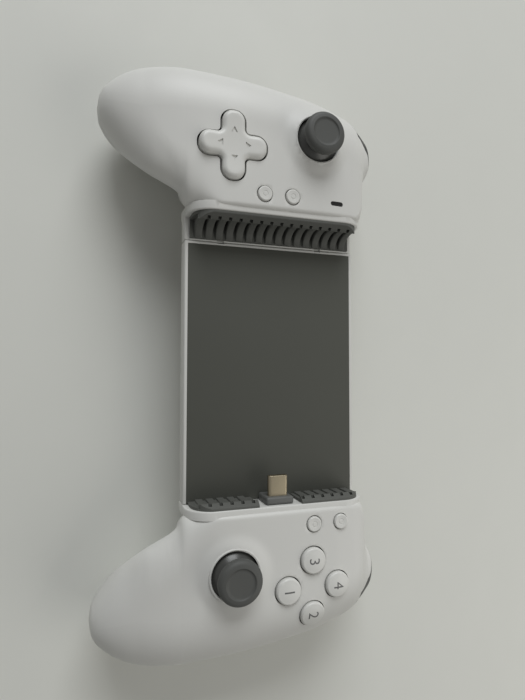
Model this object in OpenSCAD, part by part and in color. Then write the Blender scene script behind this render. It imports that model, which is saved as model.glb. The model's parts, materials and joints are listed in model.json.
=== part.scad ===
// Telescopic phone game controller: two hand grips joined by a sliding bridge.
// Millimetres, +Z out of the faces, +X towards the right grip, +Y towards the shoulder buttons.
// The grips are modelled on the right and mirrored for the left.

/* [Bay] */
// Distance between the facing pad walls when the bridge is closed
bay_len = 112; // [109:0.5:116]
// Width of the dark plate under the phone
plate_w = 73.4; // [70:0.2:76]
// Height of the plate above the table
plate_z = 30; // [29.5:0.1:30.5]
// Height of the pad lips above the plate
lip_h = 13.1; // [11:0.1:13.3]
// How far the left grip pulls out
stroke = 60; // [30:1:60]

/* [Bridge] */
// White border beside the plate
border_w = 1.3; // [1:0.1:2]
// Thickness of the dark plate
plate_t = 1.2; // [1:0.1:1.4]
// Whole thickness of the bridge
bridge_t = 8.1; // [7.8:0.1:8.6]
// Free play around the sliding tongue
slide_gap = 0.4; // [0.3:0.05:0.6]

/* [Grips] */
// Wall thickness of the shells
skin = 2.3; // [2:0.1:2.5]
// Step from the face down to the rim along the bay
rim_drop = 1; // [0.6:0.1:1.6]
// Width of the rim along the bay
rim_w = 1.8; // [1.2:0.1:2.4]
// Gap between the two shells of a grip
seam_gap = 0.1; // [0.1:0.05:0.2]

/* [Sticks] */
// Diameter of a stick cap
cap_d = 17.4; // [15:0.2:18]
// Diameter of the dish in a stick cap
dish_d = 11.6; // [9:0.2:13]
// Height of the cap tops above the plate
cap_z = 23.6; // [23:0.1:25]
// Play between the dome of a stick and its collar
dome_gap = 0.5; // [0.4:0.05:0.7]

/* [Buttons] */
// Diameter of a round button
key_d = 11; // [10:0.1:11.6]
// Distance from the middle of the four round buttons to each of them
key_ring = 10.7; // [10:0.1:10.8]
// Travel of a round button
key_travel = 1.3; // [0.8:0.1:1.3]
// Diameter of a small button
small_d = 6.4; // [5.6:0.1:7]
// Travel of a small button
small_travel = 0.5; // [0.3:0.05:0.5]
// Length of the cross pad from tip to tip
cross_len = 27.4; // [26:0.2:29.4]
// Width of a cross pad arm
cross_w = 9.2; // [9:0.1:10.6]
// Play around a button in its hole
key_gap = 0.3; // [0.3:0.05:0.5]

/* [Plug] */
// Width of the plug
plug_w = 8.34; // [8.3:0.01:8.4]
// Height of the plug
plug_h = 2.56; // [2.5:0.01:2.6]
// Reach of the plug from the bay wall
plug_len = 9; // [7.6:0.1:9.2]
// Height of the plug axis above the plate
plug_z = 8.3; // [6:0.1:8.6]

/* [Hinges] */
// Running clearance of the pins, on the radius
run_gap = 0.05; // [0.03:0.01:0.08]
// Radius of a trigger axle
axle_r = 1.5; // [1.2:0.1:1.6]
// Radius of a bumper pin
bumper_pin_r = 1.2; // [1:0.1:1.4]
// Radius of the cross pin in a stick
stick_pin_r = 0.8; // [0.7:0.05:0.9]

/* [Hidden] */
$fn = 48;
eps = 0.01;
bh = bay_len / 2;
frame_hw = plate_w / 2 + border_w;
bay_hw = frame_hw + 0.2;
seat_z = plate_z - plate_t;
bridge_bottom = plate_z - bridge_t;
cover_t = 0.9;
face_z = plate_z + 14.4;
rim_z = face_z - rim_drop;
lip_z = plate_z + lip_h;
// Bay wall of the shells, behind the pads
wall_g = 2.2;
// Side of the bay wall that faces the hollow
hollow_g = wall_g + rim_w + skin;
pad_hw = bay_hw - 2.2;
bay_r = 10.5;
pad_r = 8.4;
rib_pitch = 4.35;
rib_w = 3.1;
// Reach and height of the hollow ribs of the left pad
rib_reach = 6.2;
rib_rise = lip_h - 5.1;
// Half the space between the two right pads
pad_end = 9.1;
// Grey boss around the foot of the plug
boss_hw = 6.2;
boss_reach = 0.9;
boss_r = 1.8;
boss_top = plate_z + plug_z + 3.4;
// Tail end, shoulder end and trigger tip, along Y
tail_y = -72.7;
trig_y = 52.9;
y_mid = (tail_y + trig_y) / 2;
// Places on the face, from the bay wall and along Y
face_at = [35.2, 12.1];
stick_r_at = [26.5, -20.3];
stick_l_at = [35.3, 14.6];
cross_at = [28.15, -21.6];
small_r_at = [[10.25, 12.7], [10.25, 24.6]];
small_l_at = [[10.2, -8.5], [10.2, 3.5]];
window_at = [9.6, 23.6];
// Screws, with the height of their heads
screws_at = [[41.5, -55, 6.2], [10.6, 33.2, 8.8], [44, -14, 8]];
posts_at = [[24, -32], [45, -32], [24, 26.2], [43, 26.2]];
front_ribs_y = [-50, -44, -38, -32, -26];
plug_y = -0.9;
// Heights inside a grip
board_z = plate_z - 1;
board_t = 1.6;
board_top = board_z + board_t;
stick_axis_z = plate_z + 6.5;
key_flange_z = plate_z + 5.6;
cross_axis_z = plate_z + 11;
cross_top = face_z + 2;
// Play left under a button that is fully pressed
press_gap = 0.3;
key_stem = 1.2;
screw_r = 0.95;
screw_head_r = 2;
screw_head_t = 2;
screw_len = plate_z - 1.6;
small_foot_z = plate_z + 3;
mat_top = key_flange_z - key_stem - key_travel - press_gap;
switch_top = small_foot_z - small_travel - press_gap;
// Corner radius at the tips of the cross pad
tip_r = 4.2;
// Stick dome, a ball around the tilt axes
collar_h = 1.4;
stick_hole_r = 9.5;
dome_r = sqrt(pow(stick_hole_r, 2) + pow(face_z - stick_axis_z, 2)) - dome_gap;
// Sliding tongue
tongue_hw = frame_hw - 5.2;
tongue_z0 = bridge_bottom + cover_t + slide_gap;
tongue_z1 = seat_z - 1.3 - slide_gap;
tongue_in = 16;
tray_end = bh - 7.4;
// Length of the tongue that stays in the bridge when it is pulled out
tongue_hold = 32.6;
tongue_end = min(bh - 12, stroke + tongue_hold - tray_end);
spring_y = 20;
spring_r = 1.3;
spring_z = tongue_z0 + 1.45;
spring_len = tongue_end + bh - 20;
// Shoulder buttons
bump_x = [14, 31.5, 38, 48.27];
bump_z = [plate_z - 3, plate_z + 1.6, plate_z + 4.6, plate_z + 8.4];
bump_pin = [17, 34.4];
bump_ribs_x = [25, 29.5, 34, 38.5, 43];
trig_x = [20, 39.6];
trig_pin = [33.1, 21.9];
bracket_x = [16.6, trig_x[1] + 2.4];
bracket_y = trig_pin[0] - 4.8;
cut_gap = 0.4;
// Short flat between the rounded quarters of a grip's cross-section
ring_flat = 0.15;

// One sub-part by name, or all of them

// Grip form: station along Y, inner and outer side from the bay wall, top, widest height and bottom
grip_rows = [
  [tail_y, 43.2, 44.2, 22.4, 21.84, 21.2],
  [-72.1, 38.6, 49.6, 26.1, 21.6, 17.2],
  [-70.4, 35.7, 53.5, 29.5, 21.4, 12.8],
  [-67.4, 32.7, 56.4, 32.6, 21.8, 8.8],
  [-63, 29.4, 59.3, 35.4, 23.15, 5.4],
  [-57, 24.9, 61.6, 38, 25.2, 2.4],
  [-50, 19.7, 62.7, 40.2, 27.1, 0.5],
  [-44, 16.2, 63, 41.6, 28.5, 0],
  [-41.4, 14.6, 63, 42.2, 29, 0.2],
  [-39.6, 12.6, 62.8, 42.5, 29.3, 0.4],
  [-38.6, 10.2, 62.7, 42.7, 29.4, 0.5],
  [-38.1, 4, 62.6, 42.8, 29.4, 0.6],
  [-33, 4, 62.5, 43.4, 29.8, 1.6],
  [-25, 4, 62.3, 44, 30, 3.4],
  [-15, 4, 61.7, 44.4, 30, 5],
  [-5, 4, 60.8, 44.4, 30, 5.6],
  [5, 4, 59.6, 44.4, 30, 4.6],
  [15, 4, 58.1, 44.4, 30, 2],
  [22, 4, 56.4, 44.3, 30, 0.2],
  [27, 4, 54.8, 43.9, 30, 0],
  [32, 4, 53.2, 43.2, 30, 2.4],
  [35.6, 4, 51.5, 42, 30, 8],
  [37.4, 4, 50.3, 40.8, 30, 12],
  [38.2, 9, 49.7, 39.8, 30, 13.4],
  [39.1, 15, 49, 38.9, 30, 15],
  [40.2, 19.4, 48, 38, 30, 17],
  [41.6, 22.8, 46.4, 37.2, 30, 19.4],
  [43.2, 25.6, 44.2, 36.6, 30, 22.4],
  [44.8, 28.4, 41, 34.6, 30, 25.4],
  [46, 31, 37.4, 32.4, 30, 28],
  [46.5, 33.4, 34.8, 30.8, 30, 29.3]
];

// Stations that also shape the hollow of a grip
inside_rows = [2, 3, 4, 5, 6, 7, 9, 10, 11, 12, 13, 15, 17, 18, 19, 20, 21, 22, 24, 25, 26, 27, 28, 29];

function mix(a, b, t) = a + (b - a) * t;
function ease(a, b, x) = let (t = min(1, max(0, (x - a) / (b - a)))) t * t * (3 - 2 * t);

// Power that keeps the sign: above 1 it hollows a quarter ellipse
function bent(v, e) = sign(v) * pow(abs(v), e);

// First m + 1 points of a quarter ellipse in n steps, turning clockwise from angle a
function quarter(cx, cz, rx, rz, a, n, m, e = 1) = [
  for (i = [0 : m])
    [cx + rx * bent(cos(a - 90 * i / n), e), cz + rz * bent(sin(a - 90 * i / n), e)]
];

// Cross-section of a grip at one station, t inside its skin, with n steps per corner
function grip_ring(r, t, n) =
  let (gi = r[1] + t)
  let (go = r[2] - t)
  let (zt = r[3] + plate_z - 30 - t)
  let (ze = r[4] + plate_z - 30)
  let (zb = r[5] + t)
  let (w = (go - gi) / 2 - ring_flat)
  let (k = 1 - ease(-60, -30, r[0]))
  let (q = max(k, ease(33, 41, r[0])))
  let (rti = min(w, mix(2, w, q)))
  let (hti = min(zt - ze - ring_flat, mix(2, zt - ze, q)))
  let (rto = min(w, 21))
  let (rbo = min(w, 24))
  let (waist = 1 - ease(-42, -24, r[0]))
  let (rbi = min(w, mix(14, w, waist)))
  let (hbi = min(ze - zb - ring_flat, mix(max(2, 18 - zb), ze - zb, waist)))
  let (hollow = 1 + 0.9 * ease(-46, -37, r[0]) * waist)
  concat(
    quarter(gi + rti, zt - hti, rti, hti, 180, n, n),
    quarter(go - rto, ze, rto, zt - ze, 90, n, n - 1),
    quarter(go - rbo, ze, rbo, ze - zb, 0, n, n),
    quarter(gi + rbi, zb + hbi, rbi, hbi, -90, n, n, hollow)
  );

// Smooth skin through the cross-sections of the rows
module loft(rows, t, n) {
  y_c = (rows[0][0] + rows[len(rows) - 1][0]) / 2;
  y_half = (rows[len(rows) - 1][0] - rows[0][0]) / 2;
  rings = [for (r = rows) grip_ring(r, t, n)];
  m = len(rings[0]);
  last = len(rows) - 1;
  pts = [
    for (j = [0 : last])
      for (p = rings[j])
        [bh + p[0], y_c + (rows[j][0] - y_c) * (1 - t / y_half), p[1]]
  ];
  sides = [
    for (j = [0 : last - 1])
      for (i = [0 : m - 1])
        for (h = [0 : 1])
          h == 0
            ? [j * m + i, (j + 1) * m + i, j * m + (i + 1) % m]
            : [j * m + (i + 1) % m, (j + 1) * m + i, (j + 1) * m + (i + 1) % m]
  ];
  cap0 = [for (i = [0 : m - 1]) i];
  cap1 = [for (i = [0 : m - 1]) last * m + m - 1 - i];
  polyhedron(pts, concat(sides, [cap0, cap1]), convexity = 6);
}

// Right-hand frame of a grip, mirrored for the left
module side(s) {
  translate([0, -y_mid, 0]) mirror([s < 0 ? 1 : 0, 0, 0]) children();
}

// Place on the face of a grip
module on_face(p, z) {
  translate([bh + p[0], p[1], z]) children();
}

// Profile drawn in Y and Z, extruded along X
module along_x(x0, l) {
  translate([x0, 0, 0]) rotate([90, 0, 90]) linear_extrude(l) children();
}

// Profile drawn in X and Z, extruded along Y
module along_y(y0, l) {
  translate([0, y0 + l, 0]) rotate([90, 0, 0]) linear_extrude(l) children();
}

module block(a, b) {
  translate(a) cube(b - a);
}

// Flat bar with round ends, along Y
module stadium(l, w) {
  square([w, l - w], center = true);
  translate([0, (l - w) / 2]) circle(w / 2);
  translate([0, -(l - w) / 2]) circle(w / 2);
}

// Bar with round sides, along X, for the plug
module plug_bar(w, h, x0, l) {
  along_x(x0, l) {
    square([w - h, h], center = true);
    translate([(w - h) / 2, 0]) circle(h / 2);
    translate([-(w - h) / 2, 0]) circle(h / 2);
  }
}

// Space above the seam of a grip, which bends halfway between the stations
module above_seam(gap) {
  lift = plate_z - 30 + gap;
  bends = [for (i = [0 : len(grip_rows) - 2]) (grip_rows[i] + grip_rows[i + 1]) / 2];
  along_x(bh - 20, 100)
    polygon(concat(
      [[-90, bends[0][4] + lift]],
      [for (r = bends) [r[0], r[4] + lift]],
      [[70, plate_z + gap], [70, 90], [-90, 90]]
    ));
}

// Upright bay profile with rounded upper corners, from a foot height
module bay_profile(hw, foot, top, r) {
  translate([-hw, foot]) square([2 * hw, top - r - foot]);
  translate([-hw + r, foot]) square([2 * hw - 2 * r, top - foot]);
  for (s = [-1, 1])
    translate([s * (hw - r), top - r]) circle(r, $fn = 32);
}

// Whole outside of a grip, with its rim along the bay
module grip_body() {
  loft(grip_rows, 0, 5);
  hull() {
    along_x(bh + wall_g + 0.5, 3) bay_profile(bay_hw, bridge_bottom, rim_z, bay_r);
    along_x(bh + wall_g, 2) bay_profile(bay_hw - 0.5, bridge_bottom, rim_z - 0.5, bay_r);
  }
}

// Space inside a grip, t under its skin
module grip_inside(t) {
  loft([for (i = inside_rows) grip_rows[i]], t, 3);
}

module grip_hollow() {
  difference() {
    grip_inside(skin);
    block([bh - 1, -bay_hw - 1, -1], [bh + hollow_g, bay_hw + 1, 60]);
  }
}

// Outline of a bumper seen from the shoulder, with a slanted upper edge
module bumper_shape(grow) {
  polygon([
    [bh + bump_x[0] - grow, bump_z[0] - grow], [bh + bump_x[3] + 1.6 * grow, bump_z[0] - grow],
    [bh + bump_x[3] + 1.6 * grow, bump_z[3] + grow], [bh + bump_x[2], bump_z[3] + grow],
    [bh + bump_x[1], bump_z[2] + grow], [bh + bump_x[0] - grow, bump_z[1] + grow]
  ]);
}

// Openings at the shoulder for the bumper and the trigger
module shoulder_cut() {
  along_y(33, 40) bumper_shape(cut_gap);
  block([bh + trig_x[0] - 1, 28.5, 12.5], [bh + trig_x[1] + 1, 60, plate_z]);
}

// Tapered screw boss standing between two heights
module boss(p, z0, z1, r0, r1) {
  hull() {
    on_face(p, z0) cylinder(r = r0, h = eps, $fn = 16);
    on_face(p, z1 - eps) cylinder(r = r1, h = eps, $fn = 16);
  }
}

// Hole of a stick with the space its dome turns in
module stick_hole(p) {
  on_face(p, stick_axis_z) sphere(dome_r + dome_gap, $fn = 32);
  on_face(p, stick_axis_z) cylinder(r = stick_hole_r, h = 20, $fn = 32);
}

// Raised ring around a stick hole
module stick_collar(p) {
  on_face(p, face_z - 2)
    cylinder(r1 = stick_hole_r + 7, r2 = stick_hole_r + 0.9, h = 2 + collar_h, $fn = 32);
}

module cross_shape(grow) {
  for (a = [0, 90])
    rotate(a) {
      square([cross_w + 2 * grow, cross_len - 2 * tip_r + 2 * grow], center = true);
      square([cross_w - 2 * tip_r + 2 * grow, cross_len + 2 * grow], center = true);
      for (sx = [-1, 1])
        for (sy = [-1, 1])
          translate([sx * (cross_w / 2 - tip_r), sy * (cross_len / 2 - tip_r)])
            circle(tip_r + grow, $fn = 32);
    }
}

// Front half of a grip before its own holes
module front_half(stick_at) {
  difference() {
    union() {
      difference() {
        union() {
          grip_body();
          stick_collar(stick_at);
        }
        grip_hollow();
      }
      intersection() {
        union() {
          for (p = screws_at)
            boss(p, plate_z - 4, face_z, 2.6, 3.4);
          for (y = front_ribs_y)
            hull() {
              on_face([58, y], plate_z + 1) cylinder(r = 0.7, h = 9, $fn = 8);
              on_face([64, y], plate_z + 1) cylinder(r = 0.7, h = 4, $fn = 8);
            }
        }
        grip_inside(skin / 2);
      }
    }
    difference() {
      block([bh - 20, -90, -20], [bh + 90, 90, 90]);
      above_seam(seam_gap / 2);
    }
    shoulder_cut();
    stick_hole(stick_at);
    for (p = screws_at)
      on_face(p, 0) cylinder(r = screw_r + 0.05, h = screw_len + p[2] + 2, $fn = 16);
  }
}

// Rear half of a grip before its own slots
module rear_half() {
  difference() {
    union() {
      difference() {
        grip_body();
        grip_hollow();
      }
      intersection() {
        union() {
          for (p = screws_at)
            boss(p, 0, plate_z - 5, 3.6, 2.8);
          for (p = posts_at)
            boss(p, 0, board_z, 2.2, 1.8);
          for (x = [25, 40])
            hull() {
              on_face([x, 29.4], 0) cylinder(r = 1.2, h = 15.4, $fn = 8);
              on_face([x, 26], 0) cylinder(r = 1.2, h = 8, $fn = 8);
            }
        }
        grip_inside(skin / 2);
      }
    }
    above_seam(-seam_gap / 2);
    shoulder_cut();
    for (p = screws_at) {
      on_face(p, -1) cylinder(r = screw_r + 0.2, h = plate_z, $fn = 16);
      on_face(p, -1) cylinder(r = screw_head_r + key_gap, h = p[2] + screw_head_t + 1, $fn = 24);
    }
  }
}

module right_front_shell() {
  color("white") side(1)
    difference() {
      front_half(stick_r_at);
      for (a = [0 : 90 : 270])
        on_face(face_at + key_ring * [cos(a), sin(a)], plate_z)
          cylinder(r = key_d / 2 + key_gap, h = lip_z, $fn = 32);
      for (p = small_r_at)
        on_face(p, plate_z) cylinder(r = small_d / 2 + key_gap, h = 30, $fn = 24);
      plug_bar_hole();
    }
}

// Way through the bay wall for the plug
module plug_bar_hole() {
  translate([0, plug_y, plate_z + plug_z])
    plug_bar(plug_w + 2 * key_gap, plug_h + 2 * key_gap, bh - 1, hollow_g + 2);
}

module left_front_shell() {
  color("white") side(-1)
    difference() {
      front_half(stick_l_at);
      on_face(cross_at, plate_z + 2) linear_extrude(30) cross_shape(key_gap + 0.4);
      for (p = small_l_at)
        on_face(p, plate_z) cylinder(r = small_d / 2 + key_gap, h = 30, $fn = 24);
      on_face(window_at, plate_z + 6) linear_extrude(30) stadium(5.8, 1.9);
    }
}

// Slot in the bay wall that the bridge passes through
module bridge_slot() {
  block(
    [bh - 9, -tongue_hw - 0.1, tongue_z0 - 0.1],
    [bh + hollow_g + 0.1, tongue_hw + 0.1, tongue_z1 + 0.1]
  );
  block(
    [bh, -tongue_hw + 4.9, tongue_z0 - 0.1],
    [bh + tongue_in + 0.3, tongue_hw - 4.9, tongue_z1 + 0.1]
  );
}

module right_rear_shell() {
  color("white") side(1)
    difference() {
      rear_half();
      bridge_slot();
    }
}

// Floor of the left grip under the phone, with curved cheeks
module left_floor() {
  hull() {
    block([bh - 7.1, -frame_hw, bridge_bottom + 0.6], [bh + wall_g + 1, frame_hw, plate_z - 1.4]);
    block([bh - 6.6, -frame_hw, bridge_bottom + 0.03], [bh + wall_g + 1, frame_hw, plate_z - 1]);
  }
  hull() {
    block([bh - 7.1, -pad_hw, plate_z - 2], [bh - 6.4, pad_hw, plate_z - 0.5]);
    block([bh - 7.1, -pad_hw, plate_z - 2.5], [bh - 6.4, pad_hw, plate_z - 2]);
  }
}

module left_rear_shell() {
  color("white") side(-1)
    difference() {
      union() {
        rear_half();
        left_floor();
      }
      bridge_slot();
      for (y = [-23, 21])
        block([bh - 8, y - 1.6, plate_z - 1.6], [bh - 6.6, y + 1.6, plate_z]);
    }
}

// Ribbed rubber wall: web, lip band and ribs between two places along Y
module pad_wall(y0, y1, foot_z) {
  difference() {
    union() {
      block([bh + 1, y0, foot_z], [bh + wall_g - 0.05, y1, lip_z - 0.6]);
      along_y(y0, y1 - y0)
        polygon([
          [bh + wall_g - 0.05, lip_z - 3.2], [bh + wall_g - 0.05, lip_z], [bh + 1.2, lip_z],
          [bh - 0.4, lip_z - 2.2], [bh - 0.4, lip_z - 3.2]
        ]);
    }
    for (y = rib_gaps(y0, y1))
      block([bh - 1, y - 0.6, lip_z - 2.6], [bh + 0.9, y + 0.6, lip_z - 0.9]);
  }
}

// Middles of the gaps between the ribs of a pad
function rib_gaps(y0, y1) =
  let (n = floor((y1 - y0) / rib_pitch))
  let (a = (y0 + y1 - n * rib_pitch) / 2)
  [for (i = [0 : n]) a + i * rib_pitch];

module pad_ribs(y0, y1) {
  g = rib_gaps(y0, y1);
  for (i = [0 : len(g) - 2])
    along_y(g[i] + (rib_pitch - rib_w) / 2, rib_w) children();
}

// Keeps what lies inside the rounded outline of a pad
module pad_outline() {
  intersection() {
    children();
    along_x(bh - 10, 20) bay_profile(pad_hw, plate_z - 4, lip_z, pad_r);
  }
}

module right_pad(y0, y1) {
  pad_outline() union() {
    pad_wall(y0, y1, plate_z + 0.1);
    pad_ribs(y0, y1)
      polygon([
        [bh + 0.3, plate_z + 0.1], [bh + 1.1, plate_z + 0.1], [bh + 1.1, lip_z - 3], [bh + 0.3, lip_z - 3]
      ]);
  }
}

module right_pad_lower() {
  color("dimgray") side(1) right_pad(-pad_hw, plug_y - pad_end);
}

module right_pad_upper() {
  color("dimgray") side(1) right_pad(plug_y + pad_end, pad_hw);
}

// Ribs of the left pad, which sweep from the floor up to the lip in a hollow curve
module left_rib_profile() {
  polygon(concat(
    [[bh - rib_reach, plate_z - 0.1], [bh + 1.1, plate_z - 0.1], [bh + 1.1, lip_z - 3], [bh, lip_z - 3]],
    [for (a = [0 : -15 : -90])
      [bh - rib_reach + rib_reach * cos(a), plate_z + 0.6 + rib_rise + rib_rise * sin(a)]]
  ));
}

module left_pad() {
  color("dimgray") side(-1) pad_outline() union() {
    pad_wall(-pad_hw, pad_hw, plate_z - 0.9);
    block([bh - 6.3, -pad_hw, plate_z - 0.95], [bh + 1.05, pad_hw, plate_z]);
    pad_ribs(-pad_hw, pad_hw) left_rib_profile();
  }
}

module plug_boss() {
  color("gray") side(1)
    translate([0, plug_y, 0])
      difference() {
        hull() {
          along_x(bh - boss_reach + 0.6, boss_reach + wall_g - 0.65)
            bay_profile(boss_hw, plate_z + 0.6, boss_top, boss_r);
          along_x(bh - boss_reach, 1) bay_profile(boss_hw - 0.6, plate_z + 0.6, boss_top - 0.6, boss_r);
        }
        translate([0, 0, plate_z + plug_z]) plug_bar(plug_w + 0.1, plug_h + 0.1, bh - 2, 10);
      }
}

module plug_shell() {
  color("tan") side(1) translate([0, plug_y, plate_z + plug_z])
    difference() {
      plug_bar(plug_w, plug_h, bh - plug_len, plug_len + 8);
      plug_bar(plug_w - 0.7, plug_h - 0.7, bh - plug_len - 1, plug_len + 6);
    }
}

module plug_tongue() {
  color("black") side(1) translate([0, plug_y, plate_z + plug_z])
    difference() {
      plug_bar(plug_w - 0.76, plug_h - 0.76, bh - plug_len + 0.6, plug_len + 4);
      block([bh - plug_len, -2.8, -0.45], [bh - plug_len + 5.6, 2.8, 0.45]);
    }
}

module bridge_frame() {
  color("white") side(1)
    difference() {
      union() {
        block([-tray_end, -frame_hw, bridge_bottom + cover_t], [bh + wall_g - 0.1, frame_hw, plate_z]);
        block([bh, -tongue_hw + 5, tongue_z0], [bh + tongue_in, tongue_hw - 5, tongue_z1]);
      }
      block([-tray_end + 1.1, -plate_w / 2, seat_z], [bh + 5, plate_w / 2, plate_z + 1]);
      block(
        [-tray_end - 1, -tongue_hw - slide_gap, bridge_bottom],
        [bh - 2, tongue_hw + slide_gap, tongue_z1 + slide_gap]
      );
      for (y = [-23, 21])
        block([-tray_end - 1, y - 1.6, plate_z - 1.6], [-tray_end + 0.5, y + 1.6, plate_z + 1]);
    }
  color("white") side(1)
    for (s = [-1, 1])
      translate([tongue_end + 5, s * spring_y, tongue_z0])
        cylinder(r = 1.2, h = tongue_z1 + slide_gap - tongue_z0);
}

module bridge_cover() {
  color("white") side(1)
    block([-tray_end, -frame_hw, bridge_bottom], [bh + wall_g - 0.1, frame_hw, bridge_bottom + cover_t]);
}

module phone_plate() {
  color("dimgray") side(1)
    block(
      [-tray_end + 1.15, -plate_w / 2 + 0.05, seat_z],
      [bh + wall_g - 0.15, plate_w / 2 - 0.05, plate_z]
    );
}

// Tongue of the left grip with grooves below for the springs and the cable
module slide_tongue() {
  color("gray") side(1)
    difference() {
      union() {
        block([-bh - hollow_g, -tongue_hw, tongue_z0], [tongue_end, tongue_hw, tongue_z1]);
        block([-bh - tongue_in, -tongue_hw + 5, tongue_z0], [-bh, tongue_hw - 5, tongue_z1]);
      }
      for (s = [-1, 1])
        block(
          [tongue_end - spring_len, s * spring_y - spring_r - 0.4, tongue_z0 - 1],
          [tongue_end + 1, s * spring_y + spring_r + 0.4, spring_z + spring_r + 0.2]
        );
      block([-bh - tongue_in - 1, -6, tongue_z0 - 1], [tongue_end + 1, 6, tongue_z0 + 0.9]);
    }
}

module return_springs() {
  color("silver") side(1)
    for (s = [-1, 1])
      translate([tongue_end - spring_len + 0.1, s * spring_y, spring_z]) rotate([0, 90, 0])
        difference() {
          cylinder(r = spring_r, h = spring_len + 3.6);
          translate([0, 0, -1]) cylinder(r = spring_r - 0.5, h = spring_len + 6);
        }
}

module flat_cable() {
  color("orange") side(1)
    block([-bh - 20, -5, tongue_z0 + 0.4], [tongue_end + 8, 5, tongue_z0 + 0.65]);
}

// Circuit board of a grip
module board() {
  difference() {
    along_z(board_z, board_t)
      polygon([
        [bh + 8.4, -34.4], [bh + 48, -34.4], [bh + 51, -28], [bh + 51, 18], [bh + 48, 29], [bh + 14, 29],
        [bh + 8.4, 26]
      ]);
    on_face(screws_at[2], 0) cylinder(r = 4, h = 60);
  }
}

module along_z(z, h) {
  translate([0, 0, z]) linear_extrude(h) children();
}

module right_board() {
  color("green") side(1) board();
}

module left_board() {
  color("green") side(-1) board();
}

// Rubber mat with a dome under each place
module key_mat(c, r, hw, top) {
  block([bh + c[0] - hw, c[1] - hw, board_top], [bh + c[0] + hw, c[1] + hw, board_top + 1]);
  for (a = [0 : 90 : 270])
    on_face(c + r * [cos(a), sin(a)], board_top + 0.9)
      cylinder(r1 = 3.4, r2 = 2.6, h = top - board_top - 0.9);
}

module right_key_mat() {
  color("silver") side(1) key_mat(face_at, key_ring, 13.9, mat_top);
}

module left_key_mat() {
  color("silver") side(-1)
    difference() {
      key_mat(cross_at, 9.6, 11.9, mat_top);
      on_face(cross_at, plate_z - 2) cylinder(r = 3.4, h = 10);
    }
}

// Tact switches under the small buttons
module switches(at) {
  for (p = at)
    on_face(p, board_top) {
      translate([-1.8, -2.2, 0]) cube([3.6, 4.4, 1]);
      translate([0, 0, 0.9]) cylinder(r = 1, h = switch_top - board_top - 0.9);
    }
}

module right_switches() {
  color("black") side(1) switches(small_r_at);
}

module left_switches() {
  color("black") side(-1) switches(small_l_at);
}

// Open box that holds a stick's moving pieces
module stick_housing(p) {
  on_face(p, board_top)
    difference() {
      translate([-7.2, -7.2, 0]) cube([14.4, 14.4, 8.2]);
      translate([-6.1, -6.1, 1.4]) cube([12.2, 12.2, 20]);
    }
}

module right_stick_housing() {
  color("silver") side(1) stick_housing(stick_r_at);
}

module left_stick_housing() {
  color("silver") side(-1) stick_housing(stick_l_at);
}

// Frame that sinks when the stick is clicked
module stick_carrier(p) {
  on_face(p, stick_axis_z)
    difference() {
      translate([-5.7, -5.7, -3]) cube([11.4, 11.4, 5]);
      translate([-4.5, -4.5, -4]) cube([9, 9, 8]);
      rotate([0, 90, 0]) cylinder(r = 1 + run_gap, h = 20, center = true);
    }
}

module right_stick_carrier() {
  color("dimgray") side(1) stick_carrier(stick_r_at);
}

module left_stick_carrier() {
  color("dimgray") side(-1) stick_carrier(stick_l_at);
}

// Yoke that tilts about X and carries the shaft's cross pin
module stick_yoke(p) {
  on_face(p, stick_axis_z)
    difference() {
      union() {
        translate([-4, -3.6, -1.5]) cube([8, 7.2, 3]);
        rotate([0, 90, 0]) cylinder(r = 1, h = 11, center = true);
      }
      translate([-2.8, -2.1, -4]) cube([5.6, 4.2, 8]);
      rotate([90, 0, 0]) cylinder(r = stick_pin_r + run_gap, h = 20, center = true);
    }
}

module right_stick_yoke() {
  color("gray") side(1) stick_yoke(stick_r_at);
}

module left_stick_yoke() {
  color("gray") side(-1) stick_yoke(stick_l_at);
}

module stick_shaft(p) {
  on_face(p, stick_axis_z) {
    translate([0, 0, -2.2]) cylinder(r = 1.6, h = plate_z + cap_z - stick_axis_z + 2.2 - 3.2);
    rotate([90, 0, 0]) cylinder(r = stick_pin_r, h = 6.8, center = true);
  }
}

module right_stick_shaft() {
  color("silver") side(1) stick_shaft(stick_r_at);
}

module left_stick_shaft() {
  color("silver") side(-1) stick_shaft(stick_l_at);
}

// Cap with a dish, its neck and the ball dome under it
module stick_cap(p) {
  top = plate_z + cap_z - stick_axis_z;
  low = top - 4.2;
  on_face(p, stick_axis_z)
    rotate_extrude($fn = 64)
      difference() {
        union() {
          polygon([
            [0, low - 3], [4.6, low - 3], [4.6, low], [cap_d / 2 - 0.7, low], [cap_d / 2, low + 0.7],
            [cap_d / 2, top - 0.7], [cap_d / 2 - 0.7, top], [0, top]
          ]);
          intersection() {
            circle(dome_r);
            translate([0, 3.4]) square([20, low - 4]);
          }
        }
        translate([-30, -30]) square([30, 60]);
        intersection() {
          circle(dome_r - 1);
          square([20, low - 2.4]);
        }
        translate([0, top + 20 - 1.1]) circle(sqrt(pow(dish_d / 2, 2) + pow(18.9, 2)));
        square([1.65, top - 3.1]);
      }
}

module right_stick_cap() {
  color("dimgray") side(1) stick_cap(stick_r_at);
}

module left_stick_cap() {
  color("dimgray") side(-1) stick_cap(stick_l_at);
}

// Post with a ball tip that the cross pad rocks on
module cross_post() {
  color("silver") side(-1) {
    on_face(cross_at, board_top) cylinder(r = 2.8, h = 2);
    on_face(cross_at, board_top) cylinder(r = 1.3, h = cross_axis_z - board_top);
    on_face(cross_at, cross_axis_z) sphere(2);
  }
}

module cross_gimbal() {
  color("gray") side(-1) on_face(cross_at, cross_axis_z)
    difference() {
      translate([0, 0, -0.9]) cylinder(r = 3.6, h = 1.8);
      translate([0, 0, -2]) cylinder(r = 2.4, h = 4);
    }
}

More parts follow.
